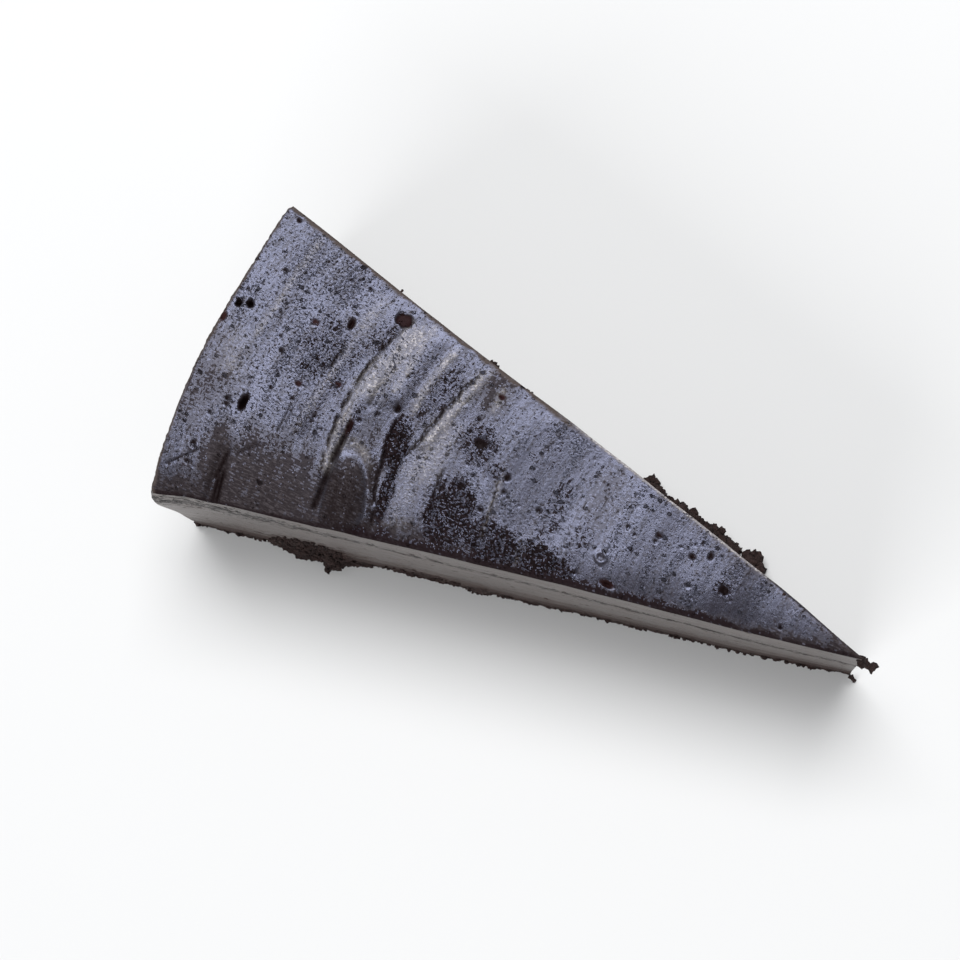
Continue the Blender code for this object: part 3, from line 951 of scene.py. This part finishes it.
def crumb_material(colours):
    """Dry cookie crumbs: rough, near black, browner here and there."""
    material, tree, shader, where = new_material("cookie_crumb")
    clouds = speckle(tree, stretched(tree, where, 1.6, 1.6, 1.6), detail=4.0, roughness=0.65)
    grain = use_group(tree, "Grain", where, Size=0.28)
    fine = use_group(tree, "Grain", where, Size=0.11)
    tone = blend(tree, ranged(tree, clouds, 0.38, 0.62), shade(colours.crumb, 0.45), colours.crumb)
    tone = blend(tree, scaled(tree, grain["Crests"], 0.6), tone, shade(colours.crumb, 1.9))
    tree.links.new(tone, shader.inputs["Base Color"])
    tree.links.new(ranged(tree, grain["Height"], 0.3, 0.7, 0.95, 0.70), shader.inputs["Roughness"])
    shader.inputs["Specular IOR Level"].default_value = 0.25
    bumped(tree, shader, (grain["Height"], 0.22), (fine["Height"], 0.08))
    return material


def material_named(name):
    """A material by name, built the first time."""
    made = bpy.data.materials.get(name)
    if made:
        return made
    colours = bpy.context.scene.cake_colours
    if name in SKIN_KINDS:
        return skin_material(colours, name)
    if name in CUT_KINDS:
        return cut_material(colours, name)
    return crumb_material(colours)


# ---- The pieces ----


def skin_sheet(shape):
    """The top as a flat wedge, x for radius and y for side, whose outline is drawn down in rows."""
    deselect()
    long = (CAKE_RADIUS - TIP_CUT) * MM
    wide = 2 * CAKE_RADIUS * math.sin(HALF_ANGLE) * MM
    bpy.ops.mesh.primitive_grid_add(
        x_subdivisions=round(long / shape.skin_cell), y_subdivisions=round(wide / shape.skin_cell), size=1)
    piece = bpy.context.object
    piece.name = "chocolate_top"
    bpy.ops.object.mode_set(mode="EDIT")
    bpy.ops.mesh.select_all(action="SELECT")
    bpy.ops.transform.resize(value=(long, wide, 1))
    bpy.ops.transform.translate(value=(CENTRE_X * MM, 0, 0))
    for across in (-1, 1):
        bpy.ops.mesh.select_all(action="SELECT")
        bpy.ops.mesh.bisect(
            plane_co=(0, 0, 0), plane_no=(-math.sin(HALF_ANGLE), across * math.cos(HALF_ANGLE), 0),
            clear_outer=True, threshold=0.001 * MM)
    bpy.ops.mesh.select_all(action="SELECT")
    bpy.ops.mesh.remove_doubles(threshold=0.28 * shape.skin_cell)
    bpy.ops.mesh.select_mode(type="EDGE")
    bpy.ops.mesh.select_all(action="DESELECT")
    bpy.ops.mesh.select_non_manifold()
    for _ in range(len(TOP_ROWS) + MIDDLE_ROWS + len(SEAM_ROWS)):
        bpy.ops.mesh.extrude_edges_move(TRANSFORM_OT_translate={"value": (0, 0, -1)})
    bpy.ops.mesh.edge_face_add()
    bpy.ops.object.mode_set(mode="OBJECT")
    return piece


def row_height(row, top, low):
    """Height of a wall row between the top's edge and the seam."""
    first, last = top - TOP_ROWS[-1], low + SEAM_ROWS[0]
    height = np.where(row == 0, top, low)
    for index, down in enumerate(TOP_ROWS, 1):
        height = np.where(row == index, top - down, height)
    for index in range(1, MIDDLE_ROWS + 1):
        share = index / (MIDDLE_ROWS + 1)
        height = np.where(row == len(TOP_ROWS) + index, first + (last - first) * share, height)
    for index, up in enumerate(SEAM_ROWS, 1):
        height = np.where(row == len(TOP_ROWS) + MIDDLE_ROWS + index, low + up, height)
    return height


def pore_spots(count):
    """Random pores on the skin, thick where pore_density is high."""
    picked = random.Random(PORE_SEED)
    spots = []
    radius = CAKE_RADIUS * np.sqrt([picked.random() for _ in range(9 * count)])
    angle = HALF_ANGLE * np.array([2 * picked.random() - 1 for _ in range(9 * count)])
    reach, side = radius * np.cos(angle), radius * np.sin(angle)
    chance = pore_density(reach, side)
    for x, y, likely in zip(reach, side, chance):
        if picked.random() < likely and len(spots) < count:
            size = 0.24 + 0.25 * picked.random() ** 3
            spots.append(Hollow(x, y, size, size * (1 + 0.6 * picked.random()), 0.6 * size, 0.0))
    return spots


def pore_density(reach, side):
    """Chance of a pore at a point, from 0 to 1."""
    flow = flow_line(reach, side)
    clusters = ramp(0.2 + 1.7 * wave(flow / 2.2, side / 8, 12.0))
    base = 0.12 + 0.38 * clusters + 0.15 * clusters * ramp((70 - reach) / 25)
    base = np.maximum(base, 0.9 * patches(BARE_PATCHES, reach, side))
    return np.clip(base * (1 - 0.8 * patches(BROWN_PATCHES, reach, side)), 0, 1)


def stamp_hollows(reach, side, hollows):
    """Depth and redness that hollows give to the points."""
    depth, red = np.zeros_like(reach), np.zeros_like(reach)
    tree = kdtree.KDTree(len(reach))
    for index, (x, y) in enumerate(zip(reach.tolist(), side.tolist())):
        tree.insert((x, y, 0), index)
    tree.balance()
    for hollow in hollows:
        span = 1.5 * max(hollow.half_reach, hollow.half_side)
        found = [index for _, index, _ in tree.find_range((hollow.reach, hollow.side, 0), span)]
        if not found:
            continue
        off = oval(hollow, reach[found], side[found])
        off += 0.22 * wave(reach[found] / 0.5, side[found] / 0.5, 27.0)
        cup = hollow.depth * np.square(np.clip(1 - off * off, 0, 1))
        depth[found] = np.maximum(depth[found], cup)
        red[found] = np.maximum(red[found], hollow.ruddy * ramp(1.6 * (1.25 - off)))
    return depth, red


def lay_out(piece, shape):
    """Where each vertex of the flat wedge belongs, and how far inside the near, far and rim side it lies."""
    flat = coordinates(piece)
    radius = np.maximum(flat[:, 0] / MM, TIP_CUT)
    angle = np.clip(np.arcsin(np.clip(flat[:, 1] / MM / radius, -1, 1)), -HALF_ANGLE, HALF_ANGLE)
    near = radius * np.sin(HALF_ANGLE + angle)
    far = radius * np.sin(HALF_ANGLE - angle)
    rim = CAKE_RADIUS - radius
    snap = 0.4 * shape.skin_cell / MM
    across = np.where(near < snap, -1.0, np.where(far < snap, 1.0, angle / HALF_ANGLE))
    share = np.where(rim < snap, 1.0, (radius - TIP_CUT) / (CAKE_RADIUS - TIP_CUT))
    at = at_outline(share, across, np.where(share > 0.9999, RIM, np.where(across < 0, NEAR, FAR)))
    at.row = np.round(-flat[:, 2]).astype(int)
    at.near, at.far, at.rim = near, far, rim
    at.on_rim = rim < snap
    at.on_outline = (near < snap) | (far < snap) | at.on_rim
    at.ragged = wave(at.reach / 2.5, at.side / 2.5, 15.0)
    return at


def skin_looks(at):
    """How strong each look of the skin is at each vertex."""
    reach, side, ragged = at.reach, at.side, at.ragged
    streaks = streak_field(reach, side)
    # Painted shade along the near edge, where the top rolls away from the light: dark, bare skin.
    band_width = 0.5 + 1.1 * ramp((reach - 12) / 32)
    near_edge_shade = ramp(1.6 - at.near / band_width + ragged) * ramp((96 - reach) / 8)
    near_edge_shade = np.maximum(near_edge_shade, ramp(1.7 - at.near / 0.45 + ragged))
    chip = ramp(CHIP_EDGE * (1 - oval(CHIP, reach, side) + 0.25 * wave(reach, side, 1.0)))
    bare = np.maximum(patches(BARE_PATCHES, reach, side), 0.95 * near_edge_shade)
    bare = np.maximum(bare * (1 - 0.8 * streaks), chip)

    edge = tongue_edge(reach, side)
    tongue_rim = bell((edge - 0.92 + 0.05 * ragged) / 0.10) * ramp((side + 23) / 8)
    # The moat on the tongue's tipward side and the tongue's inside get painted shade: dark, bare skin and
    # the pits' near-black colour.
    valley = bell((edge - 1.27 + 0.06 * ragged) / 0.22) * ramp((TONGUE_CENTRE.x - reach) / 2)
    valley *= ramp((-3 - side) / 3) * ramp((side + 20) / 3)
    tongue_shade = 0.8 * np.maximum(ramp(1.5 * (0.92 - edge) + 0.3 * ragged), valley)

    tipwards = ramp((68 - reach) / 12)
    # A thin pale line along the far edge towards the tip: a painted highlight, carried in the pale streaks.
    far_edge_highlight = ramp(1.6 - at.far / 0.27) * tipwards * ramp((reach - 18) / 8)
    far_scuff = ramp(1.5 - at.far / 0.65 + 0.9 * ragged) * (1 - 0.75 * tipwards)
    scuffed = np.maximum(far_scuff, 0.8 * ramp(1.3 - at.rim / 0.6 + 0.6 * ragged)) * (1 - far_edge_highlight)
    far_dull = 0.30 * ramp(1.2 - at.far / 2.2 + 0.4 * ragged) * ramp((50 - reach) / 15)
    # Painted shade: dull brown skin in a strip along the near edge, widest towards the rim.
    dull_width = 1.8 + 2.8 * ramp((reach - 60) / 25)
    near_strip_shade = 0.8 * ramp(1.3 - at.near / dull_width + 0.5 * ragged)
    brown = np.maximum(patches(BROWN_PATCHES, reach, side, sharp=0.9), scuffed) * (1 - 0.6 * tongue_rim)
    return SimpleNamespace(
        streaks=np.maximum(streaks, 2 * far_edge_highlight), chip=chip, bare=bare, tongue_rim=tongue_rim, tongue_shade=tongue_shade,
        scuffed=scuffed, brown=np.maximum.reduce([brown, far_dull, near_strip_shade]))


def skin_relief(at, look, shape):
    """Height of the skin at each vertex, the painted shade of its hollows, creases and cracks, and how red
    its hollows are.
    """
    reach, side = at.reach, at.side
    top = skin_height(reach, side) + shape.wrinkles / MM * fine_wrinkles(reach, side)
    top += 0.06 * look.bare * wave(reach / 0.9, side / 1.1, 41.0)
    depth, red = np.zeros_like(reach), np.zeros_like(reach)
    sheet = at.row == 0
    hollows = list(HOLLOWS) + pore_spots(shape.pores)
    depth[sheet], red[sheet] = stamp_hollows(reach[sheet], side[sheet], hollows)
    split, dark = splits(reach, side)
    top -= np.maximum(depth, split) + CHIP.depth * look.chip
    for ring in RINGS:
        off = np.hypot(reach - ring.reach, side - ring.side)
        top += ring.height * bell((off - ring.radius) / 0.28)
        top -= 0.8 * ring.height * bell(off / (0.6 * ring.radius))
    rolls = (NEAR_ROLL, at.near), (FAR_ROLL, at.far), (RIM_ROLL, at.rim)
    top -= np.maximum.reduce([roll_down(roll, inside) for roll, inside in rolls])
    return top, np.maximum(ramp(5.5 * depth - 0.3), dark), red


def skin_kinds(at, look, hole_shade):
    """The kind of skin at each vertex, mottled and streaked, with glossy flecks in what is bare."""
    reach, side, brown = at.reach, at.side, look.brown
    flow = flow_line(reach, side)
    dither = np.random.default_rng(PORE_SEED).random(len(reach)) - 0.5
    dullness = 0.85 * brown + 0.10 + 0.14 * ramp((reach - 52) / 34) - 0.5 * look.streaks
    dullness += 0.20 * wave(flow / 2.2, side / 9, 52.0) + 0.25 * dither
    dullness += 0.30 * wave(flow / 0.8, side / 8, 56.0) - 0.25 * look.tongue_rim
    dullness += 0.9 * brown * wave(reach, side / 0.34, 53.0)
    dullness += 0.7 * (1 - brown) * wave(flow / 0.42, side / 0.6, 55.0)
    kinds = np.where((dullness > 0.28) | (brown > 0.6), SATIN, GLOSSY)
    kinds = np.where(dullness > 0.66, DULL, kinds)
    dither += 0.5 * wave(reach / 0.6, side / 1.2, 51.0)
    bareness = look.bare + 0.6 * dither + 0.65 * wave(flow / 0.7, side / 2.2, 54.0)
    kinds = np.where(np.maximum.reduce([bareness, 1.4 * hole_shade, look.tongue_shade + dither]) > 0.6, BARE, kinds)
    flecks = wave(reach / 0.45, side / 0.35, 61.0) + 0.4 * dither
    flecked = (flecks > 0.20) & (hole_shade < 0.4) & (at.near > 0.8) & (np.maximum(look.chip, look.tongue_shade) < 0.3)
    return np.where(flecked & (kinds == BARE), GLOSSY, kinds)


def shape_top(piece, shape):
    """Moves the flat wedge to its place, stores what its materials read and returns each vertex's kind."""
    at = lay_out(piece, shape)
    look = skin_looks(at)
    top, hole_shade, red = skin_relief(at, look, shape)
    on_wall = at.row > 0
    opening = seam_opening(at.reach, shape) * np.where(at.which == RIM, 0.5, 1.0)
    opening *= 0.85 + 0.5 * wave(at.reach / 3, at.side / 3, 2.0)
    low = seam_height(at.reach) + 0.5 * opening + 0.10 * wave(at.reach / 2.2, at.which + 0.5, 6.0)
    height = row_height(at.row, top, low)
    holes = np.where(on_wall, cut_holes(at, height), 0.0)
    stand = cut_relief(at, height) - TORN_DEPTH * holes * ramp((top - height) / 0.5)
    stand = np.where(on_wall | at.on_outline, stand, 0.0)
    nicks = wave(at.side / 0.8, 3.0, 17.0) + 0.6 * wave(at.side / 2.6, 5.0, 18.0)
    stand -= np.where(at.on_rim, 0.16 * nicks * ramp(1 - (top - height) / 2), 0.0)
    place(piece, wall_point(at, height, stand))

    rimwards = 0.28 * ramp((at.reach - 99) / 8) * (1 - 0.7 * ramp((at.reach - 116) / 7))
    porous = (0.1 + rimwards + pore_density(at.reach, at.side)) * (1 - 0.6 * look.brown)
    mark_points(
        # The pale streaks carry the far edge's painted highlight too.
        piece, bare=look.bare, brown=look.brown, dusty=look.streaks * (1 - look.chip), scuffed=look.scuffed,
        # hollow also carries painted shade: the dark of hollows, creases and cracks, and the tongue's
        # painted shade.
        ruddy=np.maximum(red, 0.55 * look.chip), hollow=np.maximum(hole_shade, 0.6 * look.tongue_shade),
        porous=np.clip(porous, 0, 1), holes=holes, torn=tear_chance(at.reach, height),
        crumby=np.zeros(len(top)))
    return np.where(on_wall, WALL, skin_kinds(at, look, hole_shade))


def dress_top(piece, kinds):
    """Gives the skin and the cut wall their own materials. A skin face takes its first vertex's kind."""
    for name in (*SKIN_KINDS, "cut_filling"):
        piece.data.materials.append(material_named(name))
    corners = kinds[[loop.vertex_index for loop in piece.data.loops]]
    starts = [face.loop_start for face in piece.data.polygons]
    highest = np.maximum.reduceat(corners, starts)
    piece.data.polygons.foreach_set("material_index", np.where(highest == WALL, WALL, corners[starts]))


class CAKE_OT_top(bpy.types.Operator):
    """Builds the top layer with its wrinkled, porous skin"""
    bl_idname = "cake.top"
    bl_label = "Wrinkled top"

    def execute(self, context):
        shape = context.scene.cake_shape
        piece = skin_sheet(shape)
        dress_top(piece, shape_top(piece, shape))
        face_outwards(piece, 50)
        join_body(piece, "top", "top_layer")
        return {"FINISHED"}


def side_block(name, rows, shape):
    """A prism for a lower layer, and where on the slice's outline and how far up it its vertices lie."""
    outline = 2 * (CAKE_RADIUS - TIP_CUT) + 2 * HALF_ANGLE * (CAKE_RADIUS + TIP_CUT)
    columns = round(outline * MM / shape.side_cell)
    piece = prism(name, columns, rows)
    unit = coordinates(piece)
    turn = (np.arctan2(unit[:, 1], unit[:, 0]) / (2 * math.pi)) % 1.0
    at = at_outline(*round_outline(turn))
    at.up = unit[:, 2]
    at.cells = columns, rows + 1
    at.cell = np.round(turn * columns).astype(int) % columns, np.round(at.up * rows).astype(int)
    return piece, at


def joint_wander(at):
    """How far the joint between base and filling strays from its level."""
    return 0.4 * wave(at.reach / 7, at.side / 7, 81.0) + 0.2 * wave(at.reach, at.side, 82.0)


def dress_sides(piece, names, values, limits):
    """Gives each face the material for its mean value, which the limits part."""
    for name in names:
        piece.data.materials.append(material_named(name))
    means = [np.mean(values[list(face.vertices)]) for face in piece.data.polygons]
    piece.data.polygons.foreach_set("material_index", np.digitize(means, limits, right=True))


class CAKE_OT_filling(bpy.types.Operator):
    """Builds the chocolate filling with its knife-smeared sides"""
    bl_idname = "cake.filling"
    bl_label = "Chocolate filling"

    def execute(self, context):
        shape = context.scene.cake_shape
        piece, at = side_block("cut_filling", FILLING_ROWS, shape)
        top = seam_height(at.reach) - 0.5 * seam_opening(at.reach, shape)
        top += 0.08 * wave(at.reach / 1.9, at.which + 0.5, 16.0)
        low = BASE_HEIGHT + 0.05 + joint_wander(at)
        height = low + (top - low) * (1 - (1 - at.up) ** 1.35)
        holes = cut_holes(at, height)
        place(piece, wall_point(at, height, cut_relief(at, height) - TORN_DEPTH * holes))
        ragged = wave(at.along / 1.6, height / 1.6, 71.0) + 0.6 * wave(at.along, height, 72.0)
        dragged = 1.1 - np.hypot((at.along - 100) / 9, (height - 9) / 8) + 0.8 * ragged
        crumby = np.where(at.which == NEAR, ramp(1.6 * dragged), 0.0)
        mark_points(piece, holes=holes, torn=tear_chance(at.reach, height), crumby=crumby)
        smeared = ramp((low + 8 - height) / 8) + 0.5 * wave(at.along / 5, height / 2.5, 73.0)
        smeared += 0.3 * wave(at.along, height, 74.0)
        smeared += 0.7 * (np.random.default_rng(CRUMB_SEED).random(at.cells)[at.cell] - 0.5)
        dress_sides(piece, CUT_KINDS, smeared, (0.36, 0.62))
        face_outwards(piece, 50)
        join_body(piece, "filling", "chocolate_filling")
        return {"FINISHED"}


def crumbiness(at, height):
    """Where crumbs show on the base's side, from 0 where the knife smeared it to 1."""
    ragged = wave(at.along / 3.5, height / 2, 21.0 + at.which)
    ragged += 0.5 * wave(at.along / 1.2, height, 24.0 + at.which)
    foot = ramp((4.4 - height) / 2.4 + 0.8 * ragged)
    patch = bell((at.along - 99.5) / 7.5) + 0.75 * bell((at.along - 79) / 6)
    bare = ramp(1.9 * patch * (at.which == NEAR) + 0.9 * ragged - height / 9)
    far = np.where(at.which == FAR, ramp(0.75 + 1.2 * ragged), 0.0)
    return np.maximum.reduce([foot, bare, far])


class CAKE_OT_base(bpy.types.Operator):
    """Builds the crumb base with the mounds that spilled from it"""
    bl_idname = "cake.base"
    bl_label = "Crumb base"

    def execute(self, context):
        piece, at = side_block("crumb_base_detail", BASE_ROWS, context.scene.cake_shape)
        reach, side = at.reach, at.side
        height = (BASE_HEIGHT + joint_wander(at)) * at.up
        nubs = wave(reach / 1.7, side / 1.7, height / 1.7)
        nubs += 0.6 * wave(reach / 0.8, side / 0.8, height / 0.8)
        far = np.where(at.which == FAR, spill_out(FAR_SPILLS, reach, height), 0.0)
        near = np.where(at.which == NEAR, spill_out(NEAR_SPILLS, reach, height), 0.0)
        crumby = np.maximum(crumbiness(at, height), ramp((far + near) / 0.6))
        stand = cut_relief(at, height) + crumby * (0.30 * nubs + 0.1)
        stand += np.maximum(0, 0.80 * far + 0.93 * near - 0.2 * (far > 1))
        place(piece, wall_point(at, height, stand))
        none = np.zeros(len(reach))
        faint = 0.7 * ramp((BASE_HEIGHT - height) / 4)
        mark_points(piece, holes=none, torn=none, crumby=np.maximum(crumby, faint))
        dress_sides(piece, ("smeared_base", "cookie_crumb"), crumby, (0.5,))
        face_outwards(piece, 60)
        join_body(piece, "crumb", "crumb_base")
        return {"FINISHED"}


Grain = namedtuple("Grain", "x y z size")
GRAIN_FLAT = 0.9  # height of a crumb beside its width


def grains_piece(name, grains):
    """One piece of many crumbs, each a copy of one ball that is dented in its own way."""
    deselect()
    bpy.ops.mesh.primitive_ico_sphere_add(subdivisions=2, radius=1)
    ball = bpy.context.object
    unit = coordinates(ball)
    made = []
    for index, grain in enumerate(grains):
        copy = ball.copy()
        copy.data = ball.data.copy()
        bpy.context.collection.objects.link(copy)
        dents = wave(1.1 * unit[:, 0] + 7 * index, 1.1 * unit[:, 1], 1.1 * unit[:, 2])
        dents += 0.5 * wave(2.6 * unit[:, 0] + 5 * index, 2.6 * unit[:, 1], 2.6 * unit[:, 2])
        points = unit * (1 + 0.75 * dents[:, None]) * grain.size
        turn = 2.4 * index
        x = points[:, 0] * math.cos(turn) - points[:, 1] * math.sin(turn)
        y = points[:, 0] * math.sin(turn) + points[:, 1] * math.cos(turn)
        z = np.maximum(points[:, 2] * GRAIN_FLAT + grain.z, 0.02)
        place(copy, np.stack((x + grain.x, y + grain.y, z), axis=1))
        made.append(copy)
    bpy.data.objects.remove(ball)
    for copy in made:
        copy.select_set(True)
    bpy.context.view_layer.objects.active = made[0]
    bpy.ops.object.join()
    piece = bpy.context.object
    piece.name = name
    piece.data.materials.append(material_named("cookie_crumb"))
    face_outwards(piece, 70)
    join_body(piece, "crumb")


def spilled_spot(cut, reach, height, stand):
    """A place on a cut at a reach and height, that stands out of it by stand."""
    share = (reach - TIP_CUT) / (CAKE_RADIUS - TIP_CUT) / math.cos(HALF_ANGLE)
    at = at_outline(np.array([share]), np.array([float(cut)]), np.array([cut]))
    return wall_point(at, np.array([height]), stand)[0]


def spilled(spills, reach, height):
    """How far crumbs stand out of the base at one point of a cut."""
    return spill_out(spills, np.array([reach]), np.array([height]))[0]


def heap_grains(picked, count):
    """Crumbs that lie on the far mound."""
    grains = []
    while len(grains) < count:
        reach = picked.uniform(21, 55)
        height = picked.uniform(0.3, 8.0)
        out = spilled(FAR_SPILLS, reach, height)
        if out < 0.4:
            continue
        size = 0.28 + 0.60 * picked.random() ** 2
        x, y, z = spilled_spot(FAR, reach, height, 0.80 * out)
        grains.append(Grain(x, y, max(z, 0.8 * size), size))
    return grains


def near_grain(reach, height, size):
    """A crumb on the near cut's crumbs, at a reach and height."""
    stand = spilled(NEAR_SPILLS, reach, height) + 0.05
    return Grain(*spilled_spot(NEAR, reach, height, stand), size)


def foot_grains(picked):
    """Crumbs along the foot of the near cut, in its bare patch and in a small clump."""
    grains = []
    for _ in range(FOOT_CRUMBS):
        reach = picked.uniform(4, 124)
        size = 0.20 + 0.34 * picked.random() ** 3
        grains.append(near_grain(reach, picked.uniform(size, 1.6), size))
    for _ in range(PATCH_CRUMBS):
        reach = picked.uniform(90, 109)
        size = 0.22 + 0.40 * picked.random() ** 2
        top = 15 * math.exp(-((reach - 101) / 7.5) ** 4) * picked.uniform(0.6, 1.1)
        height = size + max(1.2, top) * picked.random() ** 1.3
        grains.append(near_grain(reach, height, size * (1.1 - 0.4 * height / 15)))
    for _ in range(CLUMP_CRUMBS):
        reach = picked.gauss(79, 3.5)
        size = 0.22 + 0.25 * picked.random() ** 2
        grains.append(near_grain(reach, picked.uniform(size, 5), size))
    return grains


def placed_grains(crumbs):
    """Crumbs that lie at known places."""
    return [Grain(CENTRE_X - reach, side, height, size) for reach, side, height, size in crumbs]


class CAKE_OT_crumbs(bpy.types.Operator):
    """Scatters loose crumbs on the mounds, along the foot, at the tip and on the far edge of the top"""
    bl_idname = "cake.crumbs"
    bl_label = "Loose crumbs"

    def execute(self, context):
        picked = random.Random(CRUMB_SEED)
        grains_piece("heap_crumbs", heap_grains(picked, context.scene.cake_shape.heap_crumbs))
        grains_piece("foot_crumbs", foot_grains(picked))
        grains_piece("tip_crumbs", placed_grains(TIP_CRUMBS))
        grains_piece("edge_crumbs", placed_grains(EDGE_CRUMBS))
        return {"FINISHED"}


def soft_light(name, tilt_x, tilt_y, size, power):
    """Adds a soft light over the slice, tilted from straight above by degrees along X and Y."""
    slope = (math.tan(math.radians(tilt_x)), math.tan(math.radians(tilt_y)), 1)
    direction = Vector(slope).normalized()
    light = bpy.data.lights.new(name, "AREA")
    light.shape = "RECTANGLE"
    light.size, light.size_y = size
    light.energy = power
    light.color = LIGHT_COLOUR
    lamp = bpy.data.objects.new(name, light)
    bpy.context.collection.objects.link(lamp)
    lamp.location = Vector((0, 0, TOTAL_HEIGHT * MM)) + LIGHT_DISTANCE * direction
    lamp.rotation_euler = direction.to_track_quat("Z", "Y").to_euler()


class CAKE_OT_stage(bpy.types.Operator):
    """Makes the pale floor, the soft lights and the camera"""
    bl_idname = "cake.stage"
    bl_label = "Stage"

    def execute(self, context):
        stage = context.scene.cake_stage
        deselect()
        bpy.ops.mesh.primitive_plane_add(size=FLOOR_SIZE)
        floor = context.object
        floor.name = "floor"
        surface = bpy.data.materials.new("pale_floor")
        surface.use_nodes = True
        shader = surface.node_tree.nodes["Principled BSDF"]
        shader.inputs["Base Color"].default_value = stage.floor
        shader.inputs["Roughness"].default_value = 0.55
        floor.data.materials.append(surface)

        world = bpy.data.worlds.new("studio")
        world.use_nodes = True
        context.scene.world = world
        tree = world.node_tree
        seen = node(tree, "LightPath").outputs["Is Camera Ray"]
        back = tree.nodes["Background"]
        colour = blend(tree, seen, ROOM_COLOUR, (1, 1, 1, 1))
        tree.links.new(colour, back.inputs["Color"])
        strength = scaled(tree, seen, ROOM_SEEN - stage.sky, stage.sky)
        tree.links.new(strength, back.inputs["Strength"])

        soft_light("window", -12, 19, (2.1, 1.5), stage.window)
        soft_light("fill", -12, -60, (2.4, 1.4), stage.fill)

        lens = bpy.data.cameras.new("camera")
        lens.lens = CAMERA_LENS
        lens.sensor_width = 36
        lens.clip_start = 0.01
        camera = bpy.data.objects.new("camera", lens)
        context.collection.objects.link(camera)
        camera.location = CAMERA_PLACE
        camera.rotation_euler = [math.radians(angle) for angle in CAMERA_TURN]
        context.scene.camera = camera
        context.scene.view_settings.view_transform = "Standard"
        return {"FINISHED"}


class CAKE_PT_panel(bpy.types.Panel):
    """Lists the steps that build the slice"""
    bl_idname = "CAKE_PT_panel"
    bl_label = "Chocolate cake slice"
    bl_space_type = "VIEW_3D"
    bl_region_type = "UI"
    bl_category = "Cake"

    def draw(self, context):
        """Draws a button for each step and a field for each setting."""
        column = self.layout.column()
        for step in STEPS:
            column.operator(step.bl_idname)
        for group in (context.scene.cake_shape, context.scene.cake_colours, context.scene.cake_stage):
            for name in group.__annotations__:
                column.prop(group, name)


STEPS = (CAKE_OT_top, CAKE_OT_filling, CAKE_OT_base, CAKE_OT_crumbs, CAKE_OT_stage)
GROUPS = {"cake_shape": CakeShape, "cake_colours": CakeColours, "cake_stage": CakeStage}


def register():
    """Registers the classes and hangs the panel's settings on the scene."""
    for kind in (*GROUPS.values(), *STEPS, CAKE_PT_panel):
        bpy.utils.register_class(kind)
    for name, kind in GROUPS.items():
        setattr(bpy.types.Scene, name, bpy.props.PointerProperty(type=kind))


def unregister():
    """Undoes register."""
    for name in GROUPS:
        delattr(bpy.types.Scene, name)
    for kind in (CAKE_PT_panel, *reversed(STEPS), *GROUPS.values()):
        bpy.utils.unregister_class(kind)


def main():
    """Builds the slice and its stage."""
    register()
    bpy.ops.cake.top()
    bpy.ops.cake.filling()
    bpy.ops.cake.base()
    bpy.ops.cake.crumbs()
    bpy.ops.cake.stage()


if __name__ == "__main__":
    main()
